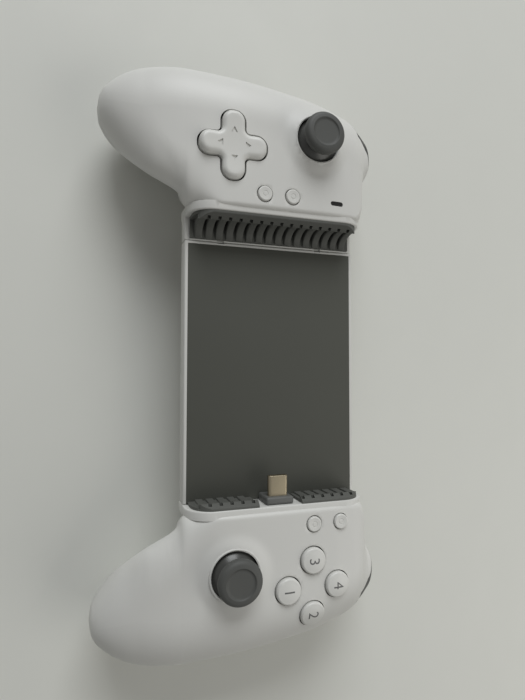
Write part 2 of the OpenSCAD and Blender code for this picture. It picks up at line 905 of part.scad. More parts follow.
module cross_pad() {
  color("white") side(-1)
    difference() {
      union() {
        on_face(cross_at, key_flange_z + 0.4)
          linear_extrude(cross_top - 0.9 - key_flange_z - 0.4) cross_shape(0);
        on_face(cross_at, cross_top - 1) linear_extrude(0.6) cross_shape(-0.4);
        on_face(cross_at, cross_top - 0.5) linear_extrude(0.5) cross_shape(-1.1);
        on_face(cross_at, key_flange_z + 0.2) cylinder(r = 13.2, h = 1);
      }
      on_face(cross_at, key_flange_z - 1) cylinder(r = 4.2, h = cross_axis_z + 2.6 - key_flange_z + 1);
      for (a = [0 : 90 : 270])
        on_face(cross_at, cross_top - 0.3)
          rotate(a) translate([5.4, 0]) cylinder(r = 1.7, h = 1, $fn = 3);
    }
}

// Round button: dome top, stem and flange
module round_button(a) {
  r = key_d / 2;
  top = face_z + 1.9;
  color("white") side(1) on_face(face_at + key_ring * [cos(a), sin(a)], 0)
    rotate_extrude()
      intersection() {
        union() {
          translate([0, key_flange_z]) square([r, top - key_flange_z]);
          translate([0, key_flange_z]) square([r + 0.5, 1]);
          translate([0, key_flange_z - key_stem]) square([3, 2]);
        }
        union() {
          square([20, top - 2]);
          intersection() {
            translate([0, top - 24]) circle(24);
            square([20, 90]);
          }
        }
      }
}

module round_button_1() {
  round_button(270);
}

module round_button_2() {
  round_button(0);
}

module round_button_3() {
  round_button(180);
}

module round_button_4() {
  round_button(90);
}

// Small button with two ears under the face
module small_button(s, p) {
  color("white") side(s) on_face(p, 0) {
    translate([0, 0, small_foot_z]) cylinder(r = small_d / 2, h = face_z + 0.7 - small_foot_z);
    translate([-2, -small_d / 2 - 1, plate_z + 9]) cube([4, small_d + 2, 1]);
  }
}

module small_button_1() {
  small_button(-1, small_l_at[0]);
}

module small_button_2() {
  small_button(-1, small_l_at[1]);
}

module small_button_3() {
  small_button(1, small_r_at[0]);
}

module small_button_4() {
  small_button(1, small_r_at[1]);
}

module status_window() {
  color("black") side(-1) on_face(window_at, face_z - 3.2) linear_extrude(2.9) stadium(5.6, 1.7);
}

// Bracket behind the shoulder: ears for the trigger axle and a foot for the bumper pin
module bracket() {
  difference() {
    union() {
      block([bh + bracket_x[0], bracket_y, 15.5], [bh + bracket_x[1], bracket_y + 1.4, 25]);
      for (x = [bracket_x[0], bracket_x[1] - 1.8])
        block([bh + x, bracket_y, trig_pin[1] - 2.3], [bh + x + 1.8, trig_pin[0] + 1.9, 24.6]);
      block(
        [bh + bump_pin[0] - 2.4, bump_pin[1] - 2.6, 24.5],
        [bh + bump_pin[0] + 2, bump_pin[1] + 2.2, 26.2]
      );
    }
    along_x(bh, 60) translate(trig_pin) circle(axle_r + 0.02);
    translate([bh + bump_pin[0], bump_pin[1], 24.8]) cylinder(r = bumper_pin_r + 0.02, h = 10);
  }
}

module right_bracket() {
  color("dimgray") side(1) bracket();
}

module left_bracket() {
  color("dimgray") side(-1) bracket();
}

module pins() {
  along_x(bh + bracket_x[0], bracket_x[1] - bracket_x[0]) translate(trig_pin) circle(axle_r);
  translate([bh + bump_pin[0], bump_pin[1], 24.8]) cylinder(r = bumper_pin_r, h = 7.6);
}

module right_pins() {
  color("silver") side(1) pins();
}

module left_pins() {
  color("silver") side(-1) pins();
}

module screws() {
  for (p = screws_at) {
    on_face(p, p[2]) cylinder(r = screw_head_r, h = screw_head_t);
    on_face(p, p[2] + 1) cylinder(r = screw_r, h = screw_len);
  }
}

module right_screws() {
  color("silver") side(1) screws();
}

module left_screws() {
  color("silver") side(-1) screws();
}

// Bumper: a strip of the shoulder with a lug on its pin
module bumper() {
  difference() {
    union() {
      intersection() {
        difference() {
          translate([0, 0.5, 0]) loft(grip_rows, 0, 4);
          translate([0, -2.1, 0]) loft(grip_rows, 0, 3);
        }
        along_y(35.5, 20) bumper_shape(0);
      }
      translate([bh + bump_pin[0], bump_pin[1], 27]) cylinder(r = 2.8, h = 4.6, $fn = 32);
      hull() {
        translate([bh + bump_pin[0], bump_pin[1], 28]) cylinder(r = 1.8, h = 3.4, $fn = 16);
        translate([bh + bump_pin[0] + 1, bump_pin[1] + 4, 28]) cylinder(r = 1.8, h = 3.4, $fn = 16);
      }
      for (x = bump_ribs_x)
        hull() {
          translate([bh + x, bumper_back(x), 29]) cylinder(r = 0.8, h = 4, $fn = 8);
          translate([bh + x, bumper_back(x) - 1.2, 30]) cylinder(r = 0.8, h = 2.4, $fn = 8);
        }
    }
    translate([bh + bump_pin[0], bump_pin[1], 20]) cylinder(r = bumper_pin_r + run_gap, h = 30, $fn = 32);
  }
}

// Inner side of the bumper strip at a distance from the bay wall
function bumper_back(x) = 44.4 - (x < 34 ? 0.045 : 0.033) * pow(x - 34, 2);

module right_bumper() {
  color("dimgray") side(1) bumper();
}

module left_bumper() {
  color("dimgray") side(-1) bumper();
}

// Trigger: curved lever on its axle
module trigger() {
  difference() {
    along_x(bh + trig_x[0], trig_x[1] - trig_x[0])
      polygon(concat(
        [for (a = [260 : -20 : 100]) trig_pin + 3 * [cos(a), sin(a)]],
        [[40, 25.6], [45.6, 25.4], [48.6, 23.2], [50.8, 19.4], [52.2, 15], [trig_y, 10.4], [52.6, 7]],
        [[51, 4.8], [49, 5.2], [47.2, 8.2], [44.5, 12], [40.5, 15.8], [36.5, 17.8]]
      ));
    along_x(bh, 80) translate(trig_pin) circle(axle_r + run_gap);
  }
}

module right_trigger() {
  color("dimgray") side(1) trigger();
}

module left_trigger() {
  color("dimgray") side(-1) trigger();
}

right_front_shell();
right_rear_shell();
right_pad_lower();
right_pad_upper();
plug_boss();
plug_shell();
plug_tongue();
bridge_frame();
bridge_cover();
phone_plate();
right_board();
right_key_mat();
right_switches();
right_stick_housing();
right_bracket();
right_pins();
right_screws();
left_front_shell();
left_rear_shell();
left_pad();
slide_tongue();
left_board();
left_key_mat();
left_switches();
left_stick_housing();
cross_post();
left_bracket();
left_pins();
left_screws();
status_window();
return_springs();
flat_cable();
right_stick_carrier();
right_stick_yoke();
right_stick_shaft();
right_stick_cap();
left_stick_carrier();
left_stick_yoke();
left_stick_shaft();
left_stick_cap();
cross_gimbal();
cross_pad();
round_button_1();
round_button_2();
round_button_3();
round_button_4();
small_button_1();
small_button_2();
small_button_3();
small_button_4();
right_bumper();
left_bumper();
right_trigger();
left_trigger();
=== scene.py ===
# %% [markdown]
# # A telescopic phone game controller
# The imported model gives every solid, body and joint in one frame, in metres.
# This lesson dresses it: smooth moulded shells, ribbed rubber pads, sticks, keys, a metal plug
# and their finishes. Sizes below are in millimetres. Most are the solids' own; the waist, the
# keys, the stick caps and the bumper's edge follow the photograph more closely.

# %% Load the frame
import bmesh
import bpy
import json
from math import cos, pi, radians, sin, sqrt
from mathutils import Matrix, Vector


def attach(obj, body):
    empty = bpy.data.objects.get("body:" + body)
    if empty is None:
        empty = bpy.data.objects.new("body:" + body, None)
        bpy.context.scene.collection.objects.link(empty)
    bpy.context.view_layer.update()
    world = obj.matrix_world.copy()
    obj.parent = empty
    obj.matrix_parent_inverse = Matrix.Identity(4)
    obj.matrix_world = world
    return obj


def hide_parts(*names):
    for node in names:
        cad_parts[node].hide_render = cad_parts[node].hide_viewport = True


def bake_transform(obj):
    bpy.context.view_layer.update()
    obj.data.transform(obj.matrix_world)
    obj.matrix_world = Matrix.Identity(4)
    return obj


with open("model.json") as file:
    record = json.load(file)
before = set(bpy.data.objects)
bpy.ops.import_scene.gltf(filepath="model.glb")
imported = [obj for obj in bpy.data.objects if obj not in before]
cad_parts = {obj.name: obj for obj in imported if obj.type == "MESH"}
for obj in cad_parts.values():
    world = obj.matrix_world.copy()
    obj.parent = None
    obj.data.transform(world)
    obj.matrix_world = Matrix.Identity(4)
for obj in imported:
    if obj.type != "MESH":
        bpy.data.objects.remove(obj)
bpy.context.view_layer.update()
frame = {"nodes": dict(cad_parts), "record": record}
scene = bpy.context.scene
MM = 0.001
Y_SHIFT = 9.9  # from the middle of the bridge, where pieces are drawn, to the shared frame

# %% [markdown]
# ## The camera
# The camera comes first, so that each piece can be compared with the photograph once it is made.
# It hangs over the bridge with the left grip at the top of the picture.
# Its place could be found by eye; here it was fitted to the four edges of the plate.

# %% Camera
lens = bpy.data.cameras.new("camera")
lens.lens = 25.971
lens.sensor_width = 36
camera = bpy.data.objects.new("camera", lens)
scene.collection.objects.link(camera)
right = Vector((-0.00183063, 0.94627182, 0.32336712))
up = Vector((-0.99906881, -0.01566993, 0.04019917))
back = Vector((0.04310648, -0.32299241, 0.94541934))
turn = Matrix((right, up, back)).transposed().to_4x4()
camera.matrix_world = Matrix.Translation((0.00508261, -0.06389956, 0.23269465)) @ turn
scene.camera = camera
print("camera at", [round(c, 3) for c in camera.matrix_world.translation])

# %% [markdown]
# ## Finishes
# Moulded plastic is never one flat colour: the mould leaves a fine grain, the tone drifts a
# little over a hand's width, and dark pieces are rubbed paler along their edges.
# One node group makes all three, and each material places it with its own values.
# A Bevel node rounds the normal near an edge, so where it differs from the true one, there is wear.
# The group puts out only things that change over the surface; the shader stays in the material.

# %% Grain group
DRIFT_SCALE = 38
EDGE_WIDTH = 0.0004
EDGE_GAIN = 4.0
grain = bpy.data.node_groups.new("moulded grain", "ShaderNodeTree")
for flow, socket, kind in [
    ("INPUT", "Colour", "Color"), ("INPUT", "Grain scale", "Float"), ("INPUT", "Drift", "Float"),
    ("INPUT", "Roughness", "Float"), ("INPUT", "Roughness drift", "Float"),
    ("INPUT", "Wear", "Float"), ("OUTPUT", "Colour", "Color"), ("OUTPUT", "Roughness", "Float"),
    ("OUTPUT", "Height", "Float"),
]:
    grain.interface.new_socket(socket, in_out=flow, socket_type="NodeSocket" + kind)
link = grain.links.new
given = grain.nodes.new("NodeGroupInput")
wanted = grain.nodes.new("NodeGroupOutput")
coords = grain.nodes.new("ShaderNodeTexCoord")
fine = grain.nodes.new("ShaderNodeTexNoise")
fine.inputs["Detail"].default_value = 2
broad = grain.nodes.new("ShaderNodeTexNoise")
broad.inputs["Scale"].default_value = DRIFT_SCALE
broad.inputs["Detail"].default_value = 3
for noise in (fine, broad):
    link(coords.outputs["Object"], noise.inputs["Vector"])
link(given.outputs["Grain scale"], fine.inputs["Scale"])


def reckoned(tree, kind, a, b):
    """Result of one Math node: numbers are set on it, sockets are linked to it."""
    node = tree.nodes.new("ShaderNodeMath")
    node.operation = kind
    for slot, value in zip(node.inputs, (a, b)):
        if isinstance(value, (int, float)):
            slot.default_value = value
        else:
            tree.links.new(value, slot)
    return node.outputs[0]


centred = reckoned(grain, "SUBTRACT", broad.outputs["Fac"], 0.5)
drift = reckoned(grain, "MULTIPLY", centred, given.outputs["Drift"])
level = reckoned(grain, "ADD", drift, 1.0)
print("group:", grain.name, "with", len(grain.interface.items_tree), "sockets")

# %% Edge wear and outputs of the group
softened = grain.nodes.new("ShaderNodeBevel")
softened.samples = 4
softened.inputs["Radius"].default_value = EDGE_WIDTH
facing = grain.nodes.new("ShaderNodeNewGeometry")
same = grain.nodes.new("ShaderNodeVectorMath")
same.operation = "DOT_PRODUCT"
link(softened.outputs["Normal"], same.inputs[0])
link(facing.outputs["Normal"], same.inputs[1])
apart = reckoned(grain, "SUBTRACT", 1.0, same.outputs["Value"])
edge = reckoned(grain, "MULTIPLY", apart, EDGE_GAIN)
patchy = reckoned(grain, "MULTIPLY", edge, broad.outputs["Fac"])
rubbed = reckoned(grain, "MULTIPLY", patchy, given.outputs["Wear"])
level = reckoned(grain, "ADD", level, rubbed)
tinted = grain.nodes.new("ShaderNodeVectorMath")
tinted.operation = "SCALE"
link(given.outputs["Colour"], tinted.inputs[0])
link(level, tinted.inputs["Scale"])
link(tinted.outputs[0], wanted.inputs["Colour"])
fine_centred = reckoned(grain, "SUBTRACT", fine.outputs["Fac"], 0.5)
rough_drift = reckoned(grain, "MULTIPLY", fine_centred, given.outputs["Roughness drift"])
roughness = reckoned(grain, "ADD", rough_drift, given.outputs["Roughness"])
link(roughness, wanted.inputs["Roughness"])
link(fine.outputs["Fac"], wanted.inputs["Height"])
print("group:", grain.name, len(grain.nodes), "nodes")


# %% Moulded materials
def moulded(
    name, colour, roughness, scale, depth, drift,
    rough_drift=0.12, metal=0.0, specular=0.5, wear=0.0,
):
    """A material with the grain group, a bump from its height and one shader."""
    material = bpy.data.materials.new(name)
    material.use_nodes = True
    tree = material.node_tree
    shader = tree.nodes["Principled BSDF"]
    surface = tree.nodes.new("ShaderNodeGroup")
    surface.node_tree = grain
    for socket, value in [
        ("Colour", (*colour, 1)), ("Grain scale", scale), ("Drift", drift),
        ("Wear", wear), ("Roughness", roughness), ("Roughness drift", rough_drift),
    ]:
        surface.inputs[socket].default_value = value
    bump = tree.nodes.new("ShaderNodeBump")
    bump.inputs["Strength"].default_value = 0.6
    bump.inputs["Distance"].default_value = depth
    tree.links.new(surface.outputs["Height"], bump.inputs["Height"])
    tree.links.new(bump.outputs["Normal"], shader.inputs["Normal"])
    tree.links.new(surface.outputs["Colour"], shader.inputs["Base Color"])
    tree.links.new(surface.outputs["Roughness"], shader.inputs["Roughness"])
    shader.inputs["Metallic"].default_value = metal
    shader.inputs["Specular IOR Level"].default_value = specular
    return material


# Each row: material slot, colour, roughness, grain scale, grain depth in metres, tone drift, rest.
finish = {}
for slot, colour, rough, scale, depth, tone, rest in [
    ("white_shell", (0.65, 0.648, 0.625), 0.46, 3200, 0.000012, 0.03, {}),
    ("white_key", (0.665, 0.663, 0.638), 0.4, 3600, 0.000008, 0.02, {}),
    ("grip_rubber", (0.088, 0.09, 0.082), 0.68, 2600, 0.00003, 0.16, {"wear": 0.5}),
    ("stick_rubber", (0.068, 0.07, 0.066), 0.6, 3000, 0.00003, 0.12, {"wear": 0.4}),
    ("dark_plate", (0.078, 0.08, 0.069), 0.66, 3400, 0.00001, 0.06, {"specular": 0.3, "wear": 0.5}),
    ("grey_plastic", (0.11, 0.112, 0.108), 0.55, 2600, 0.00002, 0.08, {"wear": 0.3}),
    ("black_plastic", (0.016, 0.016, 0.015), 0.55, 2800, 0.00001, 0.1, {"specular": 0.2}),
    ("shoulder_plastic", (0.05, 0.051, 0.048), 0.45, 2600, 0.000015, 0.08, {"wear": 0.4}),
    ("bright_metal", (0.6, 0.6, 0.6), 0.34, 3000, 0.00001, 0.1, {"metal": 1.0}),
    ("plug_metal", (0.33, 0.285, 0.205), 0.4, 2400, 0.000015, 0.12, {"metal": 1.0, "wear": 0.3}),
    ("circuit_board", (0.03, 0.16, 0.07), 0.4, 1400, 0.00003, 0.3, {}),
    ("silicone", (0.5, 0.5, 0.48), 0.6, 2000, 0.00002, 0.08, {}),
    ("cable_film", (0.5, 0.24, 0.06), 0.35, 1800, 0.00001, 0.1, {}),
]:
    finish[slot] = moulded(slot.replace("_", " "), colour, rough, scale, depth, tone, **rest)
stick_dome_finish = moulded("stick dome", (0.055, 0.056, 0.052), 0.3, 2600, 0.00002, 0.4)
mark_finish = moulded("printed mark", (0.11, 0.11, 0.11), 0.5, 3000, 0.000005, 0.05)
print("finishes:", len(finish) + 2)

# %% [markdown]
# ## From a bmesh to a riding piece
# Pieces are drawn in millimetres in the right grip's own frame: x out from the middle,
# y towards the shoulder, z up. One helper turns them into metres in the shared frame,
# mirrors them for the left grip, shades them and hangs them on a body.
# A mirrored mesh is inside out, so its faces are turned round again.


# %% Piece helpers
def solid(name, bm):
    """A scratch object from a bmesh, still in millimetres."""
    mesh = bpy.data.meshes.new(name)
    bm.to_mesh(mesh)
    bm.free()
    obj = bpy.data.objects.new(name, mesh)
    scene.collection.objects.link(obj)
    return obj


def settled(obj):
    """An object's mesh with its modifiers applied."""
    bpy.context.view_layer.update()
    made = obj.evaluated_get(bpy.context.evaluated_depsgraph_get())
    return bpy.data.meshes.new_from_object(made)


def carve(base, tool, kind="DIFFERENCE"):
    """Cut a closed form out of a piece, join it, or keep the overlap, and apply it."""
    if isinstance(tool, bmesh.types.BMesh):
        tool = solid("tool", tool)
    step = base.modifiers.new(kind, "BOOLEAN")
    step.operation = kind
    step.solver = "MANIFOLD"
    step.object = tool
    result = settled(base)
    base.modifiers.clear()
    base.data = result
    bpy.data.objects.remove(tool)
    return base


def place(obj, body, slot, nodes=(), left=False, angle=35, material=None):
    """Finish a piece: metres, side, shading, material, body and the CAD nodes it stands for."""
    mirror = Matrix.Diagonal((-1 if left else 1, 1, 1, 1))
    obj.data.transform(Matrix.Scale(MM, 4) @ mirror @ Matrix.Translation((0, Y_SHIFT, 0)))
    if left:
        obj.data.flip_normals()
    obj.data.shade_smooth()
    obj.data.set_sharp_from_angle(angle=radians(angle))
    obj.data.materials.clear()
    obj.data.materials.append(material or finish[slot])
    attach(obj, body)
    if nodes:
        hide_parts(*nodes)
    return obj


def ring_edges(bm, ring):
    """Edges that join the vertices of one closed ring."""
    inside = set(ring)
    return list({e for v in ring for e in v.link_edges if e.other_vert(v) in inside})


# %% [markdown]
# ## The grip form
# A hand grip is a free form: there is no box or cylinder to start from. It could be sculpted,
# but its sizes are known section by section, so it is drawn as a boat is, by stations.
# Each station along y has an inner and an outer side, a top, a widest height and a bottom,
# and four quarter ellipses join them. A circle is made at each station, its points are moved
# onto that cross-section, and bridge_loops skins one circle to the next.

# %% Stations
BAY = 56.0  # x of the bay's end; g below is the distance outwards from it
PLATE = 30.0  # height of the plate that the phone lies on
FACE = 44.4  # height of the grip's flat face
RIM = 43.4  # top of the cheek behind the pads
LIP = 43.1  # top of the pads
# Each row: y, inner side, outer side, top, widest height, bottom.
STATIONS = [
    (-72.7, 44.4, 45.4, 22.4, 21.84, 21.2), (-72.1, 40.4, 49.6, 26.1, 21.6, 17.2),
    (-70.4, 36.9, 53.5, 29.5, 21.4, 12.8), (-67.4, 32.2, 56.4, 32.6, 21.8, 8.8),
    (-63, 26.5, 59.3, 35.4, 23.15, 5.4), (-57, 20.9, 61.6, 38, 25.2, 2.4),
    (-50, 15.7, 62.7, 40.2, 27.1, 0.5), (-44, 12.2, 63, 41.6, 28.5, 0),
    (-41.6, 10.4, 62.96, 42.05, 29, 0.2), (-40.3, 8.6, 62.92, 42.26, 29.3, 0.4),
    (-39.6, 6.7, 62.89, 42.38, 29.4, 0.5), (-39.1, 4, 62.87, 42.46, 29.4, 0.6),
    (-33, 4, 62.62, 43.32, 29.8, 1.6), (-25, 4, 62.2, 44.05, 30, 3.4),
    (-15, 4, 61.7, 44.4, 30, 5), (-5, 4, 60.8, 44.4, 30, 5.6),
    (5, 4, 59.6, 44.4, 30, 4.6), (15, 4, 58.1, 44.4, 30, 2),
    (22, 4, 56.4, 44.3, 30, 0.2), (27, 4, 54.8, 43.9, 30, 0),
    (32, 4, 53.2, 43.2, 30, 2.4), (35.6, 4, 51.5, 42, 30, 8),
    (37.4, 4, 50.3, 40.8, 30, 12), (38.2, 9, 49.7, 39.8, 30, 13.4),
    (39.1, 15, 49, 38.9, 30, 15), (40.2, 19.4, 48, 38, 30, 17),
    (41.6, 22.8, 46.4, 37.2, 30, 19.4), (43.2, 25.6, 44.2, 36.6, 30, 22.4),
    (44.8, 28.4, 41, 34.6, 30, 25.4), (46, 31, 37.4, 32.4, 30, 28),
    (46.5, 33.4, 34.8, 30.8, 30, 29.3),
]


def ease(a, b, x):
    """0 before a, 1 after b, and a soft step between."""
    t = min(1, max(0, (x - a) / (b - a)))
    return t * t * (3 - 2 * t)


def mix(a, b, t):
    """The value a share t of the way from a to b."""
    return a + (b - a) * t


def smooth_stations(rows, per_span):
    """More stations between the given ones, on curves that never overshoot them."""
    run = [0.0]
    for a, b in zip(rows, rows[1:]):
        run.append(run[-1] + sqrt(sum((q - p) ** 2 for p, q in zip(a, b))))
    columns = []
    for column in zip(*rows):
        pitch = [(q - p) / (t - s) for p, q, s, t in zip(column, column[1:], run, run[1:])]
        slope = [pitch[0]]
        for p, q in zip(pitch, pitch[1:]):
            slope.append(0 if p * q <= 0 else 2 * p * q / (p + q))
        slope.append(pitch[-1])
        values = []
        for i in range(len(column) - 1):
            h = run[i + 1] - run[i]
            for k in range(per_span):
                t = k / per_span
                values.append(
                    (2 * t**3 - 3 * t**2 + 1) * column[i] + (t**3 - 2 * t**2 + t) * h * slope[i]
                    + (3 * t**2 - 2 * t**3) * column[i + 1] + (t**3 - t**2) * h * slope[i + 1]
                )
        columns.append(values + [column[-1]])
    return list(zip(*columns))


stations = smooth_stations(STATIONS, 6)
print("stations:", len(STATIONS), "given,", len(stations), "drawn")

# %% Cross-sections
# Stretches of y over which one form of the section passes into another.
TAIL, SHOULDER, WAIST = (-60, -42), (33, 41), (-42, -24)
BRIM_RISE, BRIM_FALL = (-73, -50), (-36, -24)
HOLLOW_TAIL, HOLLOW_BAY = (-71, -60), (-46, -37)
ROLL, ROLL_NARROWS, ROLL_FILLS = (-40, -28), (-56, -43), (-62, -44)
# Widths of the rounded parts, and the least height or width that is left flat.
RIM_REACH, ROLL_REACH, BROW_REACH, BELLY_REACH, FLANK_REACH = 2, 12, 21, 24, 14
FLANK_TOP = 18
LEAST = 0.15


def bent(value, power):
    """A power that keeps the sign."""
    return abs(value) ** power * (1 if value > 0 else -1)


def quarter(cx, cz, rx, rz, start, steps, power=1):
    """Quarter ellipse, turning clockwise; a power above 1 makes it hollow, one below 1 fuller."""
    turns = [radians(start - 90 * i / steps) for i in range(steps + 1)]
    return [(cx + rx * bent(cos(a), power), cz + rz * bent(sin(a), power)) for a in turns]


def flat(a, b, steps):
    """Points between two others, without the ends."""
    return [(mix(a[0], b[0], i / steps), mix(a[1], b[1], i / steps)) for i in range(1, steps)]


def cross_section(row, inset, steps):
    """Closed outline of the grip at one station, inset under its skin."""
    y, inner, outer, top, wide, low = row
    inner, outer, top, low = inner + inset, outer - inset, top - inset, low + inset
    half = (outer - inner) / 2 - LEAST
    ends = max(1 - ease(*TAIL, y), ease(*SHOULDER, y))
    waist = 1 - ease(*WAIST, y)
    roll = 1 - ease(*ROLL, y)
    brim = wide + 4 * ease(*BRIM_RISE, y) * (1 - ease(*BRIM_FALL, y))
    hollow = 1 + (0.75 * ease(*HOLLOW_TAIL, y) + 0.2 * ease(*HOLLOW_BAY, y)) * waist
    full = 1 - 0.35 * ease(*ROLL_FILLS, y) * roll
    rolled = mix(half, ROLL_REACH, ease(*ROLL_NARROWS, y))
    r_in = min(half, mix(RIM_REACH, rolled, max(ends, roll)))
    h_in = min(top - brim - LEAST, mix(RIM_REACH, top - brim, max(ends, 0.85 * roll)))
    r_out, r_belly = min(half, BROW_REACH), min(half, BELLY_REACH)
    r_low = min(half, mix(FLANK_REACH, half, waist))
    h_low = min(brim - low - LEAST, mix(max(2, FLANK_TOP - low), brim - low, waist))
    rim = quarter(inner + r_in, top - h_in, r_in, h_in, 180, steps, full)
    brow = quarter(outer - r_out, wide, r_out, top - wide, 90, steps)
    belly = quarter(outer - r_belly, wide, r_belly, wide - low, 0, steps)
    flank = quarter(inner + r_low, low + h_low, r_low, h_low, -90, steps, hollow)
    return (
        rim + flat(rim[-1], brow[0], 2 * steps) + brow + belly[1:]
        + flat(belly[-1], flank[0], steps) + flank + flat(flank[-1], rim[0], steps)
    )


def grip_loft(rows, inset, steps, shift=0.0):
    """Skin over the stations: one moved circle each, bridged to the next."""
    bm = bmesh.new()
    middle, half = (rows[0][0] + rows[-1][0]) / 2, (rows[-1][0] - rows[0][0]) / 2
    rings = []
    for row in rows:
        outline = cross_section(row, inset, steps)
        y = middle + (row[0] - middle) * (1 - inset / half) + shift
        ring = bmesh.ops.create_circle(bm, segments=len(outline), radius=1)["verts"]
        for v, (g, z) in zip(ring, outline):
            v.co = (BAY + g, y, z)
        rings.append(ring)
    for a, b in zip(rings, rings[1:]):
        bmesh.ops.bridge_loops(bm, edges=ring_edges(bm, a) + ring_edges(bm, b))
    for ring in (rings[0], rings[-1]):
        bmesh.ops.contextual_create(bm, geom=ring_edges(bm, ring))
    bmesh.ops.recalc_face_normals(bm, faces=bm.faces)
    return bm


print("points in a cross-section:", len(cross_section(stations[0], 0, 12)))

# %% [markdown]
# ## Cutters
# Holes and steps could be modelled into the skin face by face. Cutting them with closed solids
# keeps the skin simple: extruded outlines, spun profiles and blocks.
# Each is drawn a little longer than the wall, so that no two faces lie in one plane.


# %% Cutter shapes
def round_edges(bm, edges, radius, segments, clamp=False):
    """Soften chosen edges."""
    bmesh.ops.bevel(
        bm, geom=edges, offset=radius, segments=segments, profile=0.5,
        affect="EDGES", material=-1, clamp_overlap=clamp,
    )


def round_corners(bm, corners, radius, segments):
    """Round chosen corners of a flat outline."""
    bmesh.ops.bevel(
        bm, geom=corners, offset=radius, offset_type="OFFSET", segments=segments, profile=0.5,
        affect="VERTICES", material=-1,
    )


def moved(bm, way):
    """Shift everything drawn so far."""
    bmesh.ops.translate(bm, verts=bm.verts, vec=way)


def turned(bm, degrees, axis):
    """Turn everything drawn so far about an axis through the origin."""
    matrix = Matrix.Rotation(radians(degrees), 3, axis)
    bmesh.ops.rotate(bm, verts=bm.verts, cent=(0, 0, 0), matrix=matrix)


def block(low, high, radius=0.0, segments=3):
    """A box between two corners, with softened edges where a radius is given."""
    bm = bmesh.new()
    bmesh.ops.create_cube(bm, size=1)
    size = [h - l for l, h in zip(low, high)]
    bmesh.ops.scale(bm, verts=bm.verts, vec=size)
    moved(bm, [(l + h) / 2 for l, h in zip(low, high)])
    if radius:
        round_edges(bm, list(bm.edges), radius, segments)
    return bm


def sheet_face(bm, points):
    """One flat face through the points."""
    return bm.faces.new([bm.verts.new(p) for p in points])


def rounded_sheet(points, radius, segments):
    """One flat face with all its corners rounded."""
    bm = bmesh.new()
    face = sheet_face(bm, points)
    round_corners(bm, list(face.verts), radius, segments)
    return bm


def arch(x, half, low, high, radius, segments):
    """Upright face across the bay, with round upper corners."""
    bm = bmesh.new()
    corners = [(-half, low), (half, low), (half, high), (-half, high)]
    face = sheet_face(bm, [(x, y, z) for y, z in corners])
    round_corners(bm, [v for v in face.verts if v.co.z > (low + high) / 2], radius, segments)
    return bm


def pulled(bm, way):
    """Extrude everything drawn so far along a vector, and close it."""
    made = bmesh.ops.extrude_face_region(bm, geom=list(bm.faces))
    far_end = [g for g in made["geom"] if isinstance(g, bmesh.types.BMVert)]
    bmesh.ops.translate(bm, verts=far_end, vec=way)
    bmesh.ops.recalc_face_normals(bm, faces=bm.faces)
    return bm


def arc(cx, cz, r, start, end, steps):
    """Points on a circle from one angle to another."""
    turns = [radians(mix(start, end, i / steps)) for i in range(steps + 1)]
    return [(cx + r * cos(a), cz + r * sin(a)) for a in turns]


def over(at, z=0):
    """The point of the shared drawing frame for a place on the grip's face."""
    return (BAY + at[0], at[1], z)


def spun(profile, centre=(0, 0, 0), steps=64):
    """Spin a profile of (radius, height) round an upright axis through centre."""
    bm = bmesh.new()
    line = [bm.verts.new((r, 0, z)) for r, z in profile]
    edges = [bm.edges.new(pair) for pair in zip(line, line[1:])]
    bmesh.ops.spin(
        bm, geom=line + edges, cent=(0, 0, 0), axis=(0, 0, 1),
        angle=2 * pi, steps=steps, use_merge=True,
    )
    bmesh.ops.remove_doubles(bm, verts=bm.verts, dist=1e-4)
    bmesh.ops.recalc_face_normals(bm, faces=bm.faces)
    moved(bm, centre)
    return bm


def rod(radius, low, high, centre=(0, 0, 0), steps=40):
    """Upright round bar."""
    return spun([(0, low), (radius, low), (radius, high), (0, high)], centre, steps)


print("cutter shapes ready")

# %% Seam and bumper outline
SEAM_GAP = 0.06
SEAM_START, SEAM_END, SEAM_SIDE = -90, 70, 36
# Top edge of the bumper from its outer to its inner end: distance from the bay, height.
CREST = [
    (46, 36.35), (44, 36.5), (41, 36.5), (38.2, 36.4), (36, 36.3), (34.6, 36.1), (33.6, 35.7),
    (32.8, 35), (32.1, 33.5), (31, 32.2), (29, 31.2), (26, 30.4), (22, 29.8),
]
BUMPER_INNER, BUMPER_OUTER, BUMPER_FOOT = 14, 48.27, 27


def seam_side(above, gap):
    """Everything above, or below, the parting line of a grip."""
    halves = [tuple((p + q) / 2 for p, q in zip(a, b)) for a, b in zip(STATIONS, STATIONS[1:])]
    lift = gap if above else -gap
    line = [(SEAM_START, halves[0][4] + lift)] + [(h[0], h[4] + lift) for h in halves]
    far = 90 if above else -20
    line += [(SEAM_END, PLATE + lift), (SEAM_END, far), (SEAM_START, far)]
    bm = bmesh.new()
    sheet_face(bm, [(SEAM_SIDE, y, z) for y, z in line])
    return pulled(bm, (100, 0, 0))


def bumper_prism(grow, start, length):
    """The bumper's outline, grown by a gap and pulled through the shoulder."""
    inner, outer, foot = BUMPER_INNER - grow, BUMPER_OUTER + 1.6 * grow, BUMPER_FOOT - grow
    crest = [(outer, 36)] + CREST + [(inner, 29.4)]
    outline = [(inner, foot), (outer, foot)] + [(g, z + grow) for g, z in crest]
    bm = bmesh.new()
    sheet_face(bm, [(BAY + g, start, z) for g, z in outline])
    return pulled(bm, (0, length, 0))


print("bumper crest:", len(CREST), "points")

